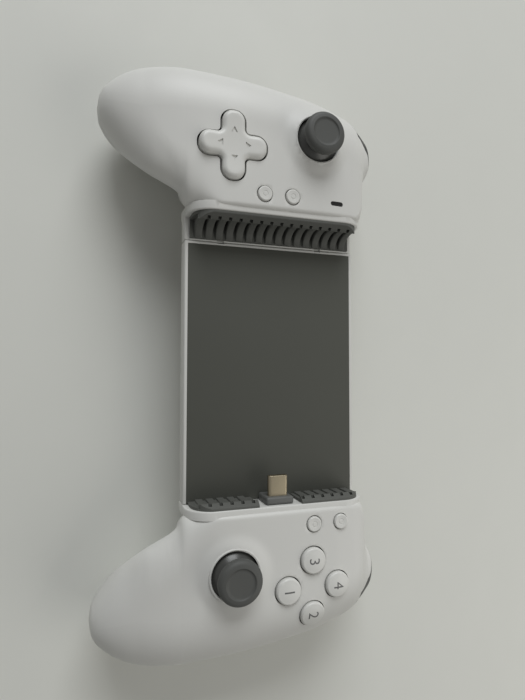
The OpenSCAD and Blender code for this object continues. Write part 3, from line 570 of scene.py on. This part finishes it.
# %% Places on the faces
STICK_RIGHT, STICK_LEFT = (26.5, -20.3), (35.3, 14.6)
FACE_KEYS = {1: 270, 2: 0, 3: 180, 4: 90}  # digit and its angle round the middle
FACE_MIDDLE, FACE_RING = (35.2, 12.1), 10.7
SMALL_RIGHT, SMALL_LEFT = [(10.25, 12.7), (10.25, 24.6)], [(10.2, -8.5), (10.2, 3.5)]
ROUND_WAY, SMALL_WAY = 5.6, 3.35
CROSS, ARM_WIDTH, ARM_LENGTH = (28.15, -21.6), 4.6, 13.7
WINDOW = (9.6, 23.6)
SCREWS = [(41.5, -55, 6.2), (10.6, 33.2, 8.8), (44, -14, 8)]
PLUG, PLUG_HEIGHT = -0.9, 38.3
CATCHES = (-23, 21)
STICK_AXIS = 36.5
HOLE = 9.5
DOME_GAP = 0.5
DOME = sqrt(HOLE**2 + (FACE - STICK_AXIS) ** 2) - DOME_GAP


def face_key(n):
    """Place of a round key."""
    a = radians(FACE_KEYS[n])
    return (FACE_MIDDLE[0] + FACE_RING * cos(a), FACE_MIDDLE[1] + FACE_RING * sin(a))


def key_hole(at, radius):
    """A round hole with a softened rim at the face."""
    mouth, above = radius + 0.28, FACE + 12
    profile = [(0, PLATE), (radius, PLATE), (radius, FACE - 0.3), (radius + 0.08, FACE - 0.1)]
    return spun(profile + [(mouth, FACE + 0.02), (mouth, above), (0, above)], over(at))


def stick_hole(at):
    """Hole with a hollow ball under it, in which the stick's dome turns."""
    r = DOME + DOME_GAP
    ball = [(sin(radians(a)) * r, cos(radians(a)) * r) for a in range(180, 51, -6)]
    return spun(ball + [(HOLE, ball[-1][1]), (HOLE, 22), (0, 22)], over(at, STICK_AXIS))


def cross_outline(grow, z):
    """Plus-shaped outline with round tips and filleted inner corners."""
    w, l = ARM_WIDTH + grow, ARM_LENGTH + grow
    bm = bmesh.new()
    corners = [(w, w), (w, l), (-w, l), (-w, w), (-l, w), (-l, -w)]
    corners += [(-w, -w), (-w, -l), (w, -l), (w, -w), (l, -w), (l, w)]
    face = sheet_face(bm, [(BAY + CROSS[0] + x, CROSS[1] + y, z) for x, y in corners])
    tips = [v for i, v in enumerate(face.verts) if i % 3 != 0]
    inner = [v for i, v in enumerate(face.verts) if i % 3 == 0]
    round_corners(bm, tips, 4.2 + grow, 10)
    round_corners(bm, inner, 2.2 - grow, 6)
    return bm


print("stick dome radius", round(DOME, 2))

# %% [markdown]
# ## The four shells
# Each grip is two mouldings that meet at a parting line. Modelling four shells apart would leave
# steps at the seam, so one skin is lofted: the bay cheek and the bead round the stick are joined
# to it and the hollow is cut out. Then each half loses what lies beyond the seam, and gets its
# own holes. Where the tail turns into the bay, smooth_vert evens out the bend in shrinking zones.

# %% Skin of a grip
WALL = 2.3
CHEEK_FRONT, CHEEK_HALF, CHEEK_DEPTH = BAY + 2.2, 38.2, 3.5
BRIDGE_LOW = 21.9
SOFT_ZONES, SOFT_PASSES = 9, 10
SWELL = 1.3


def bay_cheek():
    """Upright plate behind the rubber pads, with round upper corners and a softened edge."""
    bm = pulled(arch(CHEEK_FRONT, CHEEK_HALF, BRIDGE_LOW, RIM, 10.5, 14), (CHEEK_DEPTH, 0, 0))
    front = [e for e in bm.edges if all(v.co.x < CHEEK_FRONT + 0.1 for v in e.verts)]
    rim = [e for e in front if max(v.co.z for v in e.verts) > BRIDGE_LOW + 0.1]
    round_edges(bm, rim, 0.55, 3)
    return bm


def swell(bm, at, height):
    """Lift the face softly around a stick."""
    for v in bm.verts:
        away = sqrt((v.co.x - BAY - at[0]) ** 2 + (v.co.y - at[1]) ** 2)
        if v.co.z > 40:
            v.co.z += height * (1 - ease(9.7, 15.5, away))


def bead(at):
    """Thin raised ring at the edge of a stick hole."""
    return spun(arc(9.95, FACE + 0.96, 0.44, 0, 360, 20), over(at), 96)


def soften(form):
    """Even out the hollow where the tail meets the bay, most in the middle of it."""
    for k in range(SOFT_ZONES):
        side, floor = BAY + 28 - 1.2 * k, 24 + 0.6 * k
        along = [v for v in form.verts if -52 + k < v.co.y < -26 - k]
        near = [v for v in along if v.co.x < side and v.co.z > floor]
        for _ in range(SOFT_PASSES):
            bmesh.ops.smooth_vert(
                form, verts=near, factor=0.5,
                use_axis_x=True, use_axis_y=True, use_axis_z=True,
            )


def grip_skin(stick_at=None):
    """Hollow grip before it is parted, with a raised ring where it has a stick."""
    form = grip_loft(stations, 0, 12)
    soften(form)
    if stick_at:
        swell(form, stick_at, SWELL)
    skin = solid("skin", form)
    carve(skin, bay_cheek(), "UNION")
    if stick_at:
        carve(skin, bead(stick_at), "UNION")
    hollow = solid("hollow", grip_loft(smooth_stations(STATIONS[2:-1], 2), WALL, 6))
    carve(hollow, block((BAY - 1, -39.2, -1), (BAY + 6.3, 39.2, 60)))
    return carve(skin, hollow)


print("wall", WALL, "mm")

# %% Shell halves
GROOVE_HALF, GROOVE_DEPTH = 0.28, 0.6


def seam_groove():
    """Shallow line round a grip where its two halves meet, left out along the bay."""
    slab = solid("groove", seam_side(True, -GROOVE_HALF))
    carve(slab, seam_side(True, GROOVE_HALF))
    carve(slab, grip_loft(smooth_stations(STATIONS, 2), GROOVE_DEPTH, 8))
    return carve(slab, block((BAY - 30, -38, 0), (BAY + 8, 60, 60)))


def shoulder_cuts():
    """Openings for the bumper and the trigger."""
    trigger_way = block((BAY + 19, 28.5, 12.5), (BAY + 40.6, 60, 29.97))
    return [bumper_prism(0.4, 33, 40), trigger_way]


def screw_ways():
    """Sunk holes for the screw heads, in the underside."""
    ways = []
    for g, y, head in SCREWS:
        seat = head + 2
        hole = [(0, -1), (2.3, -1), (2.3, seat), (1.15, seat), (1.15, 40), (0, 40)]
        ways.append(spun(hole, over((g, y)), 32))
    return ways


def bridge_slots():
    """Slots in the bay's end for the bridge and its tongue."""
    wide = block((BAY - 9, -32.9, 23.1), (BAY + 6.4, 32.9, 27.2))
    return [wide, block((BAY, -27.9, 23.1), (BAY + 16.3, 27.9, 27.2))]


def catch_ways(start, end, top):
    """Small notches in the edge of the bridge where the closed grip catches."""
    return [block((start, y - 1.6, 28.4), (end, y + 1.6, top)) for y in CATCHES]


def front_shell(side, stick_at, holes):
    """Upper half of a grip, with the holes of its sticks and keys."""
    shell = grip_skin(stick_at)
    shell.name = side + "_front_shell_skin"
    cuts = [seam_side(False, -SEAM_GAP), seam_groove(), stick_hole(stick_at)]
    for cut in cuts + shoulder_cuts() + holes:
        carve(shell, cut)
    return shell


def rear_shell(side, cuts, floor=None):
    """Lower half of a grip, with a floor under the pad where one is given."""
    shell = grip_skin()
    shell.name = side + "_rear_shell_skin"
    carve(shell, seam_side(True, -SEAM_GAP))
    if floor:
        carve(shell, floor, "UNION")
    for cut in [seam_groove()] + shoulder_cuts() + cuts:
        carve(shell, cut)
    return shell


print("shell halves ready")

# %% Right shells
holes = [key_hole(face_key(n), ROUND_WAY) for n in FACE_KEYS]
holes += [key_hole(at, SMALL_WAY) for at in SMALL_RIGHT]
corners = [(-4.47, -1.58), (4.47, -1.58), (4.47, 1.58), (-4.47, 1.58)]
plug_way = rounded_sheet([(BAY - 4, PLUG + y, PLUG_HEIGHT + z) for y, z in corners], 1.5, 8)
holes.append(pulled(plug_way, (14, 0, 0)))
right_front = front_shell("right", STICK_RIGHT, holes)
place(right_front, "base", "white_shell", ["right_front_shell"])
right_rear = rear_shell("right", screw_ways() + bridge_slots())
place(right_rear, "base", "white_shell", ["right_rear_shell"])
print("right shells:", len(right_front.data.polygons), len(right_rear.data.polygons), "faces")

# %% Left shells
holes = [pulled(cross_outline(0.7, 32), (0, 0, 30))]
holes += [key_hole(at, SMALL_WAY) for at in SMALL_LEFT]
corners = [(-0.95, -2.9), (0.95, -2.9), (0.95, 2.9), (-0.95, 2.9)]
window_way = rounded_sheet([(BAY + WINDOW[0] + x, WINDOW[1] + y, 36) for x, y in corners], 0.93, 8)
holes.append(pulled(window_way, (0, 0, 20)))
left_front = front_shell("left", STICK_LEFT, holes)
place(left_front, "left_grip", "white_shell", ["left_front_shell"], left=True)
left_floor = solid("floor", block((BAY - 7.1, -38, 21.93), (BAY + 3.2, 38, 29), 0.45))
carve(left_floor, block((BAY - 7.1, -36, 27.5), (BAY - 6.4, 36, 29.5), 0.2), "UNION")
left_cuts = bridge_slots() + screw_ways() + catch_ways(BAY - 8, BAY - 6.6, 30)
left_rear = rear_shell("left", left_cuts, left_floor)
place(left_rear, "left_grip", "white_shell", ["left_rear_shell"], left=True)
print("left shells:", len(left_front.data.polygons), len(left_rear.data.polygons), "faces")

# %% [markdown]
# ## The bridge
# A white tray carries the dark plate that the phone lies on, and a cover closes it below.
# All three are flat mouldings with softened edges, so bevelled boxes are enough.

# %% Tray, cover and plate
TRAY_START, TRAY_END, TRAY_HALF = -48.6, BAY + 2.1, 38
PLATE_LOW = 28.8
tray_box = block((TRAY_START, -TRAY_HALF, 22.82), (TRAY_END, TRAY_HALF, PLATE), 0.5)
tray = solid("bridge_tray", tray_box)
plate_seat = block((-47.5, -36.7, PLATE_LOW), (BAY + 5, 36.7, 31))
tongue_way = block((TRAY_START - 1, -33.2, 21), (BAY - 2, 33.2, 27.5))
for way in [plate_seat, tongue_way] + catch_ways(TRAY_START - 1, TRAY_START + 0.5, 31):
    carve(tray, way)
tray_tongue = block((BAY - 1, -27.8, 23.2), (BAY + 16, 27.8, 27.1), 0.2)
carve(tray, tray_tongue, "UNION")
place(tray, "base", "white_shell", ["bridge_frame"])
lid = block((TRAY_START, -TRAY_HALF, BRIDGE_LOW), (TRAY_END, TRAY_HALF, 22.78), 0.35)
place(solid("bridge_underside", lid), "base", "white_shell", ["bridge_cover"])
rest_plate = block((-47.45, -36.65, PLATE_LOW), (BAY + 2.05, 36.65, PLATE), 0.18)
place(solid("phone_rest_plate", rest_plate), "base", "dark_plate", ["phone_plate"])
print("bridge:", len(tray.data.polygons), "faces in the tray")

# %% [markdown]
# ## Rubber pads
# The pads that hold the phone's ends are ribbed so that the rubber can give. An Array modifier
# could repeat the ribs; here each is joined to the web, so that a pad is one closed moulding.
# Each rib is an extruded outline with softened edges; behind the ribs is a web, and along the top
# a lip with a small square opening at each groove.

# %% Pad builder
RIB_PITCH, RIB = 4.35, 3.1
PAD_HALF = 36
WEB_BACK, LIP_BACK, LIP_DEEP = BAY + 2.15, 1.3, 1.4


def rib_gaps(start, end):
    """Middles of the grooves between the ribs."""
    count = int((end - start) / RIB_PITCH)
    first = (start + end - count * RIB_PITCH) / 2
    return [first + i * RIB_PITCH for i in range(count + 1)]


def lies_across(e):
    """True for an edge whose ends have the same y."""
    return abs(e.verts[0].co.y - e.verts[1].co.y) < 1e-4


def rib(outline, y, radius):
    """One rib: an outline pulled along y, with its two outer rims softened."""
    bm = bmesh.new()
    sheet_face(bm, [(BAY + g, y, z) for g, z in outline])
    pulled(bm, (0, RIB, 0))
    front = [e for e in bm.edges if max(v.co.x for v in e.verts) < BAY + 0.9]
    round_edges(bm, [e for e in front if lies_across(e)], radius, 4, clamp=True)
    return bm


def pad_lip(start, end, front, drop):
    """Slanted bar along the top of a pad, with its front edges softened."""
    low, high = LIP - drop - LIP_DEEP, LIP - 0.01
    slant = [(LIP_BACK, high), (front, LIP - 1.25 * drop), (front, low)]
    outline = [(2.15, low), (2.15, high)] + slant
    bm = bmesh.new()
    sheet_face(bm, [(BAY + g, start, z) for g, z in outline])
    pulled(bm, (0, end - start, 0))
    long_edges = [e for e in bm.edges if abs(e.verts[0].co.y - e.verts[1].co.y) > 5]
    forward = [e for e in long_edges if max(v.co.x for v in e.verts) < BAY + LIP_BACK]
    round_edges(bm, forward, 0.3, 3)
    return bm


def pad(name, start, end, foot, lip_front, rib_outline, radius, floor=None):
    """Web, slanted lip and ribs, kept inside the rounded outline of the bay."""
    web = solid(name, block((BAY + 1, start, foot), (WEB_BACK, end, LIP - 0.6)))
    drop = LIP_BACK - lip_front
    carve(web, pad_lip(start, end, lip_front, drop), "UNION")
    gaps = rib_gaps(start, end)
    if floor:
        carve(web, block(*floor), "UNION")
    for y in gaps[:-1]:
        carve(web, rib(rib_outline, y + (RIB_PITCH - RIB) / 2, radius), "UNION")
    low, high = LIP - drop - 1.3, LIP - drop + 0.7
    for y in gaps:
        carve(web, block((BAY - 3, y - 0.7, low), (BAY + 1.5, y + 0.7, high)))
    outline = pulled(arch(BAY - 10, PAD_HALF, 26, LIP, 8.4, 12), (20, 0, 0))
    return carve(web, outline, "INTERSECT")


print("rib pitch", RIB_PITCH, "mm")

# %% Three pads
upright = [(0.3, 30.1), (1.2, 30.1), (1.2, LIP - 2.9), (0.3, LIP - 2.9)]
for name, start, end in [("lower", -PAD_HALF, PLUG - 9.1), ("upper", PLUG + 9.1, PAD_HALF)]:
    right_pad = pad("right_pad_%s_ribs" % name, start, end, 30.1, -0.4, upright, 0.4)
    place(right_pad, "base", "grip_rubber", ["right_pad_" + name])
sweep = [(-6.2 + 5.5 * cos(radians(a)), 38.6 + 8 * sin(radians(a))) for a in range(0, -91, -9)]
tongue = [(-6.2, 29.9), (1.2, 29.9), (1.2, LIP - 3.4), (-0.7, LIP - 3.4)] + sweep
pad_floor = ((BAY - 6.3, -PAD_HALF, 29.05), (BAY + 1.05, PAD_HALF, 30.02))
left_pad = pad("left_pad_ribs", -PAD_HALF, PAD_HALF, 29.1, -1.0, tongue, 0.5, pad_floor)
place(left_pad, "left_grip", "grip_rubber", ["left_pad"], left=True)
print("left pad:", len(left_pad.data.polygons), "faces")

# %% [markdown]
# ## The plug
# The plug is a drawn steel shell: a flat tube with half-round sides and a rolled tip. It stands in
# a small grey boss. A rounded rectangle pulled along x gives the tube, its mouth and its way.

# %% Plug and boss
TUBE_START = BAY - 9


def flat_tube(width, height, start, length):
    """A bar with half-round sides along the plug's axis."""
    corners = [(-1, -1), (1, -1), (1, 1), (-1, 1)]
    points = [(start, PLUG + y * width / 2, PLUG_HEIGHT + z * height / 2) for y, z in corners]
    return pulled(rounded_sheet(points, height / 2 * 0.98, 12), (length, 0, 0))


tube = flat_tube(8.34, 2.56, TUBE_START, 17)
tip = [e for e in tube.edges if all(v.co.x < TUBE_START + 0.1 for v in e.verts)]
round_edges(tube, tip, 0.3, 3)
plug = solid("plug_tube", tube)
carve(plug, flat_tube(7.64, 1.86, TUBE_START - 1, 15))
place(plug, "base", "plug_metal", ["plug_shell"])
seat = block((BAY - 0.9, PLUG - 5.7, 30.6), (BAY + 2.15, PLUG + 5.9, 41.7), 0.9, 5)
boss = solid("plug_seat", seat)
carve(boss, flat_tube(8.44, 2.66, BAY - 2, 10))
place(boss, "base", "grey_plastic", ["plug_boss"])
print("plug:", len(plug.data.polygons), "faces")

# %% [markdown]
# ## Sticks
# A thumb stick is a body of revolution, so its profile is drawn once and spun. The cap is rubber
# with a soft edge and a dish; the dome under it is a smooth ball that turns in the hole,
# so no gap opens when the stick leans.

# %% Stick profiles
CAP_TOP, CAP_LOW = 53.58, 49.2


def stick(side, at, left):
    """Cap and dome of one stick."""
    top, low, body = CAP_TOP, CAP_LOW, side + "_stick"
    dish = [(5.2 * i / 8, top - 0.55 + 0.1 * (i / 8) ** 2) for i in range(9)]
    ridge = arc(5.95, top - 0.55, 0.55, 150, 70, 8)
    turns = [radians(a) for a in range(12, 91, 6)]
    shoulder = [(6.3 + 2.3 * sin(a), top - 2.05 + 2.0 * cos(a)) for a in turns]
    skirt = [(8.5, low + 1.3), (8.3, low + 0.75)] + arc(7.55, low + 0.6, 0.6, 0, -90, 5)
    under = [(4.6, low), (4.6, 46.2), (1.7, 46.2), (1.7, 49.5), (0, 49.5)]
    cap_bm = spun(dish + ridge + shoulder + skirt + under, over(at), 96)
    cap = solid(side + "_stick_cap_rubber", cap_bm)
    place(cap, body, "stick_rubber", [side + "_stick_cap"], left=left, angle=50)
    outer = arc(0, STICK_AXIS, DOME, 67, 17, 16)
    inner = arc(0, STICK_AXIS, DOME - 1, 17, 64, 12)
    ball = solid(side + "_stick_dome", spun(outer + inner + [outer[0]], over(at), 96))
    place(ball, body, "stick_rubber", left=left, angle=50, material=stick_dome_finish)


stick("right", STICK_RIGHT, False)
stick("left", STICK_LEFT, True)
print("sticks made, cap top at", CAP_TOP, "mm")

# %% [markdown]
# ## Keys
# The round keys have a low crown for the thumb to find, and follow the fall of the face.
# Their marks are plain digits, printed on the crown. A texture could carry them; a mesh stays sharp
# at any distance, so a text is made a mesh, and then each of its points is lifted onto the crown.

# %% Following the face
CROWN = 24.0


def skin_height(g, y):
    """Height of the bare face above a point."""
    for a, b in zip(stations, stations[1:]):
        if a[0] <= y <= b[0]:
            t = (y - a[0]) / (b[0] - a[0])
            outer, top, wide = [mix(a[k], b[k], t) for k in (2, 3, 4)]
    reach = max(0, g - outer + BROW_REACH) / BROW_REACH
    return wide + (top - wide) * sqrt(max(0, 1 - reach**2))


def drape(bm):
    """Let a key follow the fall of the face under it."""
    for v in bm.verts:
        v.co.z -= (FACE - skin_height(v.co.x - BAY, v.co.y)) * ease(37, 42, v.co.z)
    return bm


def cut_across(bm, at, normal):
    """Add edges where a plane crosses the faces."""
    everything = list(bm.verts) + list(bm.edges) + list(bm.faces)
    bmesh.ops.bisect_plane(bm, geom=everything, plane_co=at, plane_no=normal)


def slice_up(bm, pitch, reach):
    """Cut flat faces into small ones along x and y, so that they can be bent."""
    steps = int(reach / pitch)
    for k in range(-steps, steps + 1):
        for normal in ((1, 0, 0), (0, 1, 0)):
            cut_across(bm, (k * pitch, k * pitch, 0), normal)


print("face under key 4:", round(skin_height(*face_key(4)), 2), "mm")

# %% Round keys and digits
ROUND_TOP = FACE + 1.9
KEY_FLAT = 4.3
DIGIT_SIZE = 6.2


def digit(n):
    """The flat mesh of one digit, cut small."""
    text = bpy.data.curves.new("digit", "FONT")
    text.body = str(n)
    text.size = DIGIT_SIZE
    text.extrude = 0.05
    text.offset = -0.01
    text.align_x = "CENTER"
    text.align_y = "CENTER"
    letter = bpy.data.objects.new("digit", text)
    scene.collection.objects.link(letter)
    mesh = settled(letter)
    bpy.data.objects.remove(letter)
    bm = bmesh.new()
    bm.from_mesh(mesh)
    bmesh.ops.remove_doubles(bm, verts=bm.verts, dist=1e-4)
    slice_up(bm, 0.4, 3)
    return bm


def printed(bm, at):
    """Centre a digit on a key and lay it on the crown."""
    reach = [[v.co[k] for v in bm.verts] for k in (0, 1)]
    middle = [(min(r) + max(r)) / 2 for r in reach]
    for v in bm.verts:
        x, y = v.co.x - middle[0], v.co.y - middle[1]
        crown = ROUND_TOP - CROWN + sqrt(CROWN**2 - x * x - y * y)
        v.co = (BAY + at[0] + x, at[1] + y, crown + v.co.z - 0.02)
    bmesh.ops.recalc_face_normals(bm, faces=bm.faces)
    return drape(bm)


def round_key(n):
    """One round key with its digit."""
    at, name = face_key(n), "round_key_%d" % n
    radii = [KEY_FLAT * i / 8 for i in range(9)]
    crown = [(r, ROUND_TOP - CROWN + sqrt(CROWN**2 - r**2)) for r in radii]
    edge = arc(4.25, crown[-1][1] - 0.9, 0.92, 78, 0, 7)
    stem = [(5.17, 36.6), (6.0, 36.6), (6.0, 35.6), (3, 35.6), (3, 34.4), (0, 34.4)]
    key = solid(name + "_cap", drape(spun(crown + edge + stem, over(at), 72)))
    place(key, name, "white_key", ["round_button_%d" % n], angle=40)
    mark = solid(name + "_digit", printed(digit(n), at))
    place(mark, name, "grey_plastic", material=mark_finish)


for n in FACE_KEYS:
    round_key(n)
print("round keys:", len(FACE_KEYS))

# %% Small keys
SMALL_TOP = FACE + 0.7


def small_key(n, at, left):
    """One small key, with a ring sunk in its top and two ears that keep it in the shell."""
    top, name = SMALL_TOP, "small_key_%d" % n
    ring = [(0.75, top - 0.1), (0.85, top - 0.22), (1.15, top - 0.22), (1.25, top - 0.1)]
    edge = [(2.4, top - 0.04)] + arc(2.45, top - 0.6, 0.58, 84, 0, 6)
    stem = [(3.03, 40), (3.2, 40), (3.2, 33), (0, 33)]
    key = solid(name + "_cap", spun([(0, top - 0.1)] + ring + edge + stem, over(at), 48))
    x, y, _ = over(at)
    carve(key, block((x - 2, y - 4.2, 39), (x + 2, y + 4.2, 40)), "UNION")
    place(key, name, "white_key", ["small_button_%d" % n], left=left, angle=40)


for n, at in enumerate(SMALL_LEFT + SMALL_RIGHT):
    small_key(n + 1, at, at in SMALL_LEFT)
print("small keys: 4")

# %% [markdown]
# ## The cross pad
# One moulding with four arms that rocks on a ball. Its arms are pillowed, its middle is dished,
# and a shallow arrow is sunk in each arm. A plus-shaped outline is pulled up and its top bevelled;
# the flat top is then sliced, because a large face has no points inside that could be lowered.

# %% Cross pad
CROSS_LOW, CROSS_TALL = 36.4, 10
CROSS_TOP = 46.4
DISH = 0.7
cross_bm = pulled(cross_outline(0, CROSS_LOW), (0, 0, CROSS_TALL))
top_edges = [e for e in cross_bm.edges if all(v.co.z > CROSS_TOP - 0.4 for v in e.verts)]
round_edges(cross_bm, top_edges, 2.3, 8, clamp=True)
moved(cross_bm, (-BAY - CROSS[0], -CROSS[1], 0))
slice_up(cross_bm, 1.3, 13)
for v in cross_bm.verts:
    if v.co.z > 44:
        near = max(0, 1 - (v.co.x**2 + v.co.y**2) / ARM_LENGTH**2)
        v.co.z -= DISH * near * ease(44, CROSS_TOP, v.co.z)
cross_pad = solid("cross_pad_cap", cross_bm)
for a in (0, 90, 180, 270):
    arrow = bmesh.new()
    sheet_face(arrow, [(x, y, 45.36) for x, y in [(4.6, -1.35), (4.6, 1.35), (6.9, 0)]])
    pulled(arrow, (0, 0, 2))
    turned(arrow, a, "Z")
    carve(cross_pad, arrow)
carve(cross_pad, rod(4.2, 30, 43.6, steps=48))
flange = [(4.6, 35.8), (13.2, 35.8), (13.2, 36.8), (4.6, 36.8), (4.6, 35.8)]
carve(cross_pad, spun(flange), "UNION")
cross_pad.data.transform(Matrix.Translation(over(CROSS)))
place(cross_pad, "cross", "white_key", ["cross_pad"], left=True, angle=30)
print("cross pad:", len(cross_pad.data.polygons), "faces")

# %% [markdown]
# ## Shoulder buttons
# The bumper is a strip of the same shoulder skin. Drawn apart it would never lie flush, so it is
# cut from the loft itself. The trigger is a curved lever, extruded and softened, and its inner end
# is swept back to follow the shoulder.

# %% Bumpers
HINGE = (17, 34.4)


def bumper(side, left):
    """Strip of skin with a lug on its hinge pin."""
    strip = solid(side + "_bumper_strip", grip_loft(stations, 0, 14))
    carve(strip, grip_loft(stations, 0, 8, -2.1))
    carve(strip, bumper_prism(0, 35.5, 20), "INTERSECT")
    carve(strip, rod(2.8, 27, 31.6, over(HINGE)), "UNION")
    carve(strip, block((BAY + 15.9, HINGE[1], 27.2), (BAY + 19.2, 39.2, 29.3)), "UNION")
    carve(strip, rod(1.25, 20, 50, over(HINGE)))
    place(strip, side + "_bumper", "shoulder_plastic", [side + "_bumper"], left=left)


print("bumper hinge at", HINGE)

# %% Triggers
AXLE = (33.1, 21.9)
LEVER_START, LEVER_WIDTH = BAY + 20, 19.6
LEVER_SWEEP = 4.4
LEVER = arc(*AXLE, 3, 260, 100, 8) + [
    (40, 25.6), (45.6, 25.4), (48.6, 23.2), (50.8, 19.4), (52.2, 15), (52.9, 10.4), (52.6, 7),
    (51, 4.8), (49, 5.2), (47.2, 8.2), (44.5, 12), (40.5, 15.8), (36.5, 17.8),
]


def trigger(side, left):
    """Lever with softened rims, swept back at its inner end, on its axle."""
    bm = bmesh.new()
    sheet_face(bm, [(LEVER_START, y, z) for y, z in LEVER])
    pulled(bm, (LEVER_WIDTH, 0, 0))
    rims = [e for e in bm.edges if abs(e.verts[0].co.x - e.verts[1].co.x) < 1e-4]
    round_edges(bm, rims, 1.3, 5, clamp=True)
    for k in range(1, 13):
        cut_across(bm, (LEVER_START + k, 0, 0), (1, 0, 0))
    for v in bm.verts:
        inward = LEVER_SWEEP * (1 - ease(22, 38, v.co.x - BAY))
        sweep_back = inward * (0.45 + 0.55 * ease(8, 18, v.co.z))
        v.co.y -= sweep_back * ease(40, 45, v.co.y)
    lever = solid(side + "_trigger_lever", bm)
    bore = rod(1.55, -1, 30)
    turned(bore, 90, "Y")
    moved(bore, (BAY + 15, *AXLE))
    carve(lever, bore)
    place(lever, side + "_trigger", "shoulder_plastic", [side + "_trigger"], left=left, angle=40)


for side, left in (("right", False), ("left", True)):
    bumper(side, left)
    trigger(side, left)
print("shoulder buttons: 4")

# %% [markdown]
# ## Inside the bridge
# Two return springs and a flat cable stretch when the left grip is pulled out. A curve with a bevel
# could draw a spring; here a small circle is spun round the spring's line while it moves along it.

# %% Springs and cable
TURNS, PER_TURN, SPRING_LENGTH = 48, 12, 83.0
WIRE, WIRE_RING = 0.24, 1.02


def coil(name, y):
    """One coiled spring along x."""
    bm = bmesh.new()
    wire = bmesh.ops.create_circle(bm, segments=6, radius=WIRE)["verts"]
    turned(bm, 90, "X")
    moved(bm, (0, 0, WIRE_RING))
    bmesh.ops.spin(
        bm, geom=ring_edges(bm, wire) + wire, cent=(0, 0, 0), axis=(1, 0, 0),
        dvec=(SPRING_LENGTH / TURNS / PER_TURN, 0, 0), angle=2 * pi * TURNS, steps=TURNS * PER_TURN,
    )
    bmesh.ops.recalc_face_normals(bm, faces=bm.faces)
    moved(bm, (-35.6, y, 24.65))
    return solid(name, bm)


springs = [coil("return_spring_%d" % (i + 1), y) for i, y in enumerate((-20, 20))]
ribbon = block((-76, -5, 23.595), (52, 5, 23.845))
long_edges = [e for e in ribbon.edges if abs(e.verts[0].co.x - e.verts[1].co.x) > 100]
bmesh.ops.subdivide_edges(ribbon, edges=long_edges, cuts=40)
cable = solid("flat_cable_ribbon", ribbon)
for piece, slot, start, end in [
    (springs[0], "bright_metal", 0.0475, -0.0355),
    (springs[1], "bright_metal", 0.0475, -0.0355),
    (cable, "cable_film", 0.051, -0.074),
]:
    piece.data.transform(Matrix.Scale(MM, 4) @ Matrix.Translation((0, Y_SHIFT, 0)))
    piece.data.shade_smooth()
    piece.data.set_sharp_from_angle(angle=radians(50))
    piece.data.materials.append(finish[slot])
    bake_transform(piece)
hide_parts("return_springs")
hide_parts("flat_cable")
print("springs:", [len(s.data.polygons) for s in springs])

# %% [markdown]
# ## Carried-over nodes
# The pieces inside keep their CAD shape, which is right as it is, and only change their finish.
# A node's material slot in the record says which.

# %% Finishes of the remaining nodes
kept = 0
for part in frame["record"]["subparts"]:
    node = frame["nodes"][part["node"]]
    if not node.hide_render:
        node.data.materials.clear()
        node.data.materials.append(finish[part["material_slot"]])
        kept += 1
print("nodes kept:", kept)

# %% [markdown]
# ## Floor and light
# The photograph was taken on a pale table by soft window light from the top of the picture.
# A wide lamp there gives the soft shadow, a weaker one fills from the lower right, and the world
# lifts the rest. The world is brighter to the camera and to reflections than to the surfaces,
# so the background stays pale without more light on the object.

# %% Table and lamps
TABLE_SIZE = 1.6
table_bm = bmesh.new()
bmesh.ops.create_grid(table_bm, x_segments=2, y_segments=2, size=TABLE_SIZE)
table = solid("table", table_bm)
table.data.materials.append(moulded("pale table", (0.7, 0.705, 0.665), 0.6, 60, 0.00002, 0.03))


def lamp(name, at, aim, size, power, colour):
    """A soft rectangular lamp, turned towards a point."""
    light = bpy.data.lights.new(name, "AREA")
    light.shape = "RECTANGLE"
    light.size, light.size_y = size
    light.energy = power
    light.color = colour
    obj = bpy.data.objects.new(name, light)
    obj.location = at
    obj.rotation_euler = (Vector(aim) - Vector(at)).to_track_quat("-Z", "Y").to_euler()
    scene.collection.objects.link(obj)


lamp("window", (-1.6, 0, 1.05), (0, 0, 0.02), (1.2, 1), 24.5, (0.97, 0.99, 1))
lamp("ceiling", (0.35, 0.6, 0.55), (0.1, 0.1, 0), (0.7, 0.7), 2.3, (1, 0.98, 0.92))
print("lamps:", len(bpy.data.lights))

# %% World
ROOM_LIGHT, ROOM_SEEN = 0.195, 0.25
world = bpy.data.worlds.new("room")
scene.world = world
world.use_nodes = True
room = world.node_tree
air = room.nodes["Background"]
air.inputs["Color"].default_value = (0.95, 0.95, 0.93, 1)
ray = room.nodes.new("ShaderNodeLightPath")
seen = reckoned(room, "MAXIMUM", ray.outputs["Is Camera Ray"], ray.outputs["Is Glossy Ray"])
seen = reckoned(room, "MAXIMUM", seen, ray.outputs["Is Transmission Ray"])
extra = reckoned(room, "MULTIPLY", seen, ROOM_SEEN)
room.links.new(reckoned(room, "ADD", extra, ROOM_LIGHT), air.inputs["Strength"])
scene.view_settings.view_transform = "Standard"
print("stage ready")
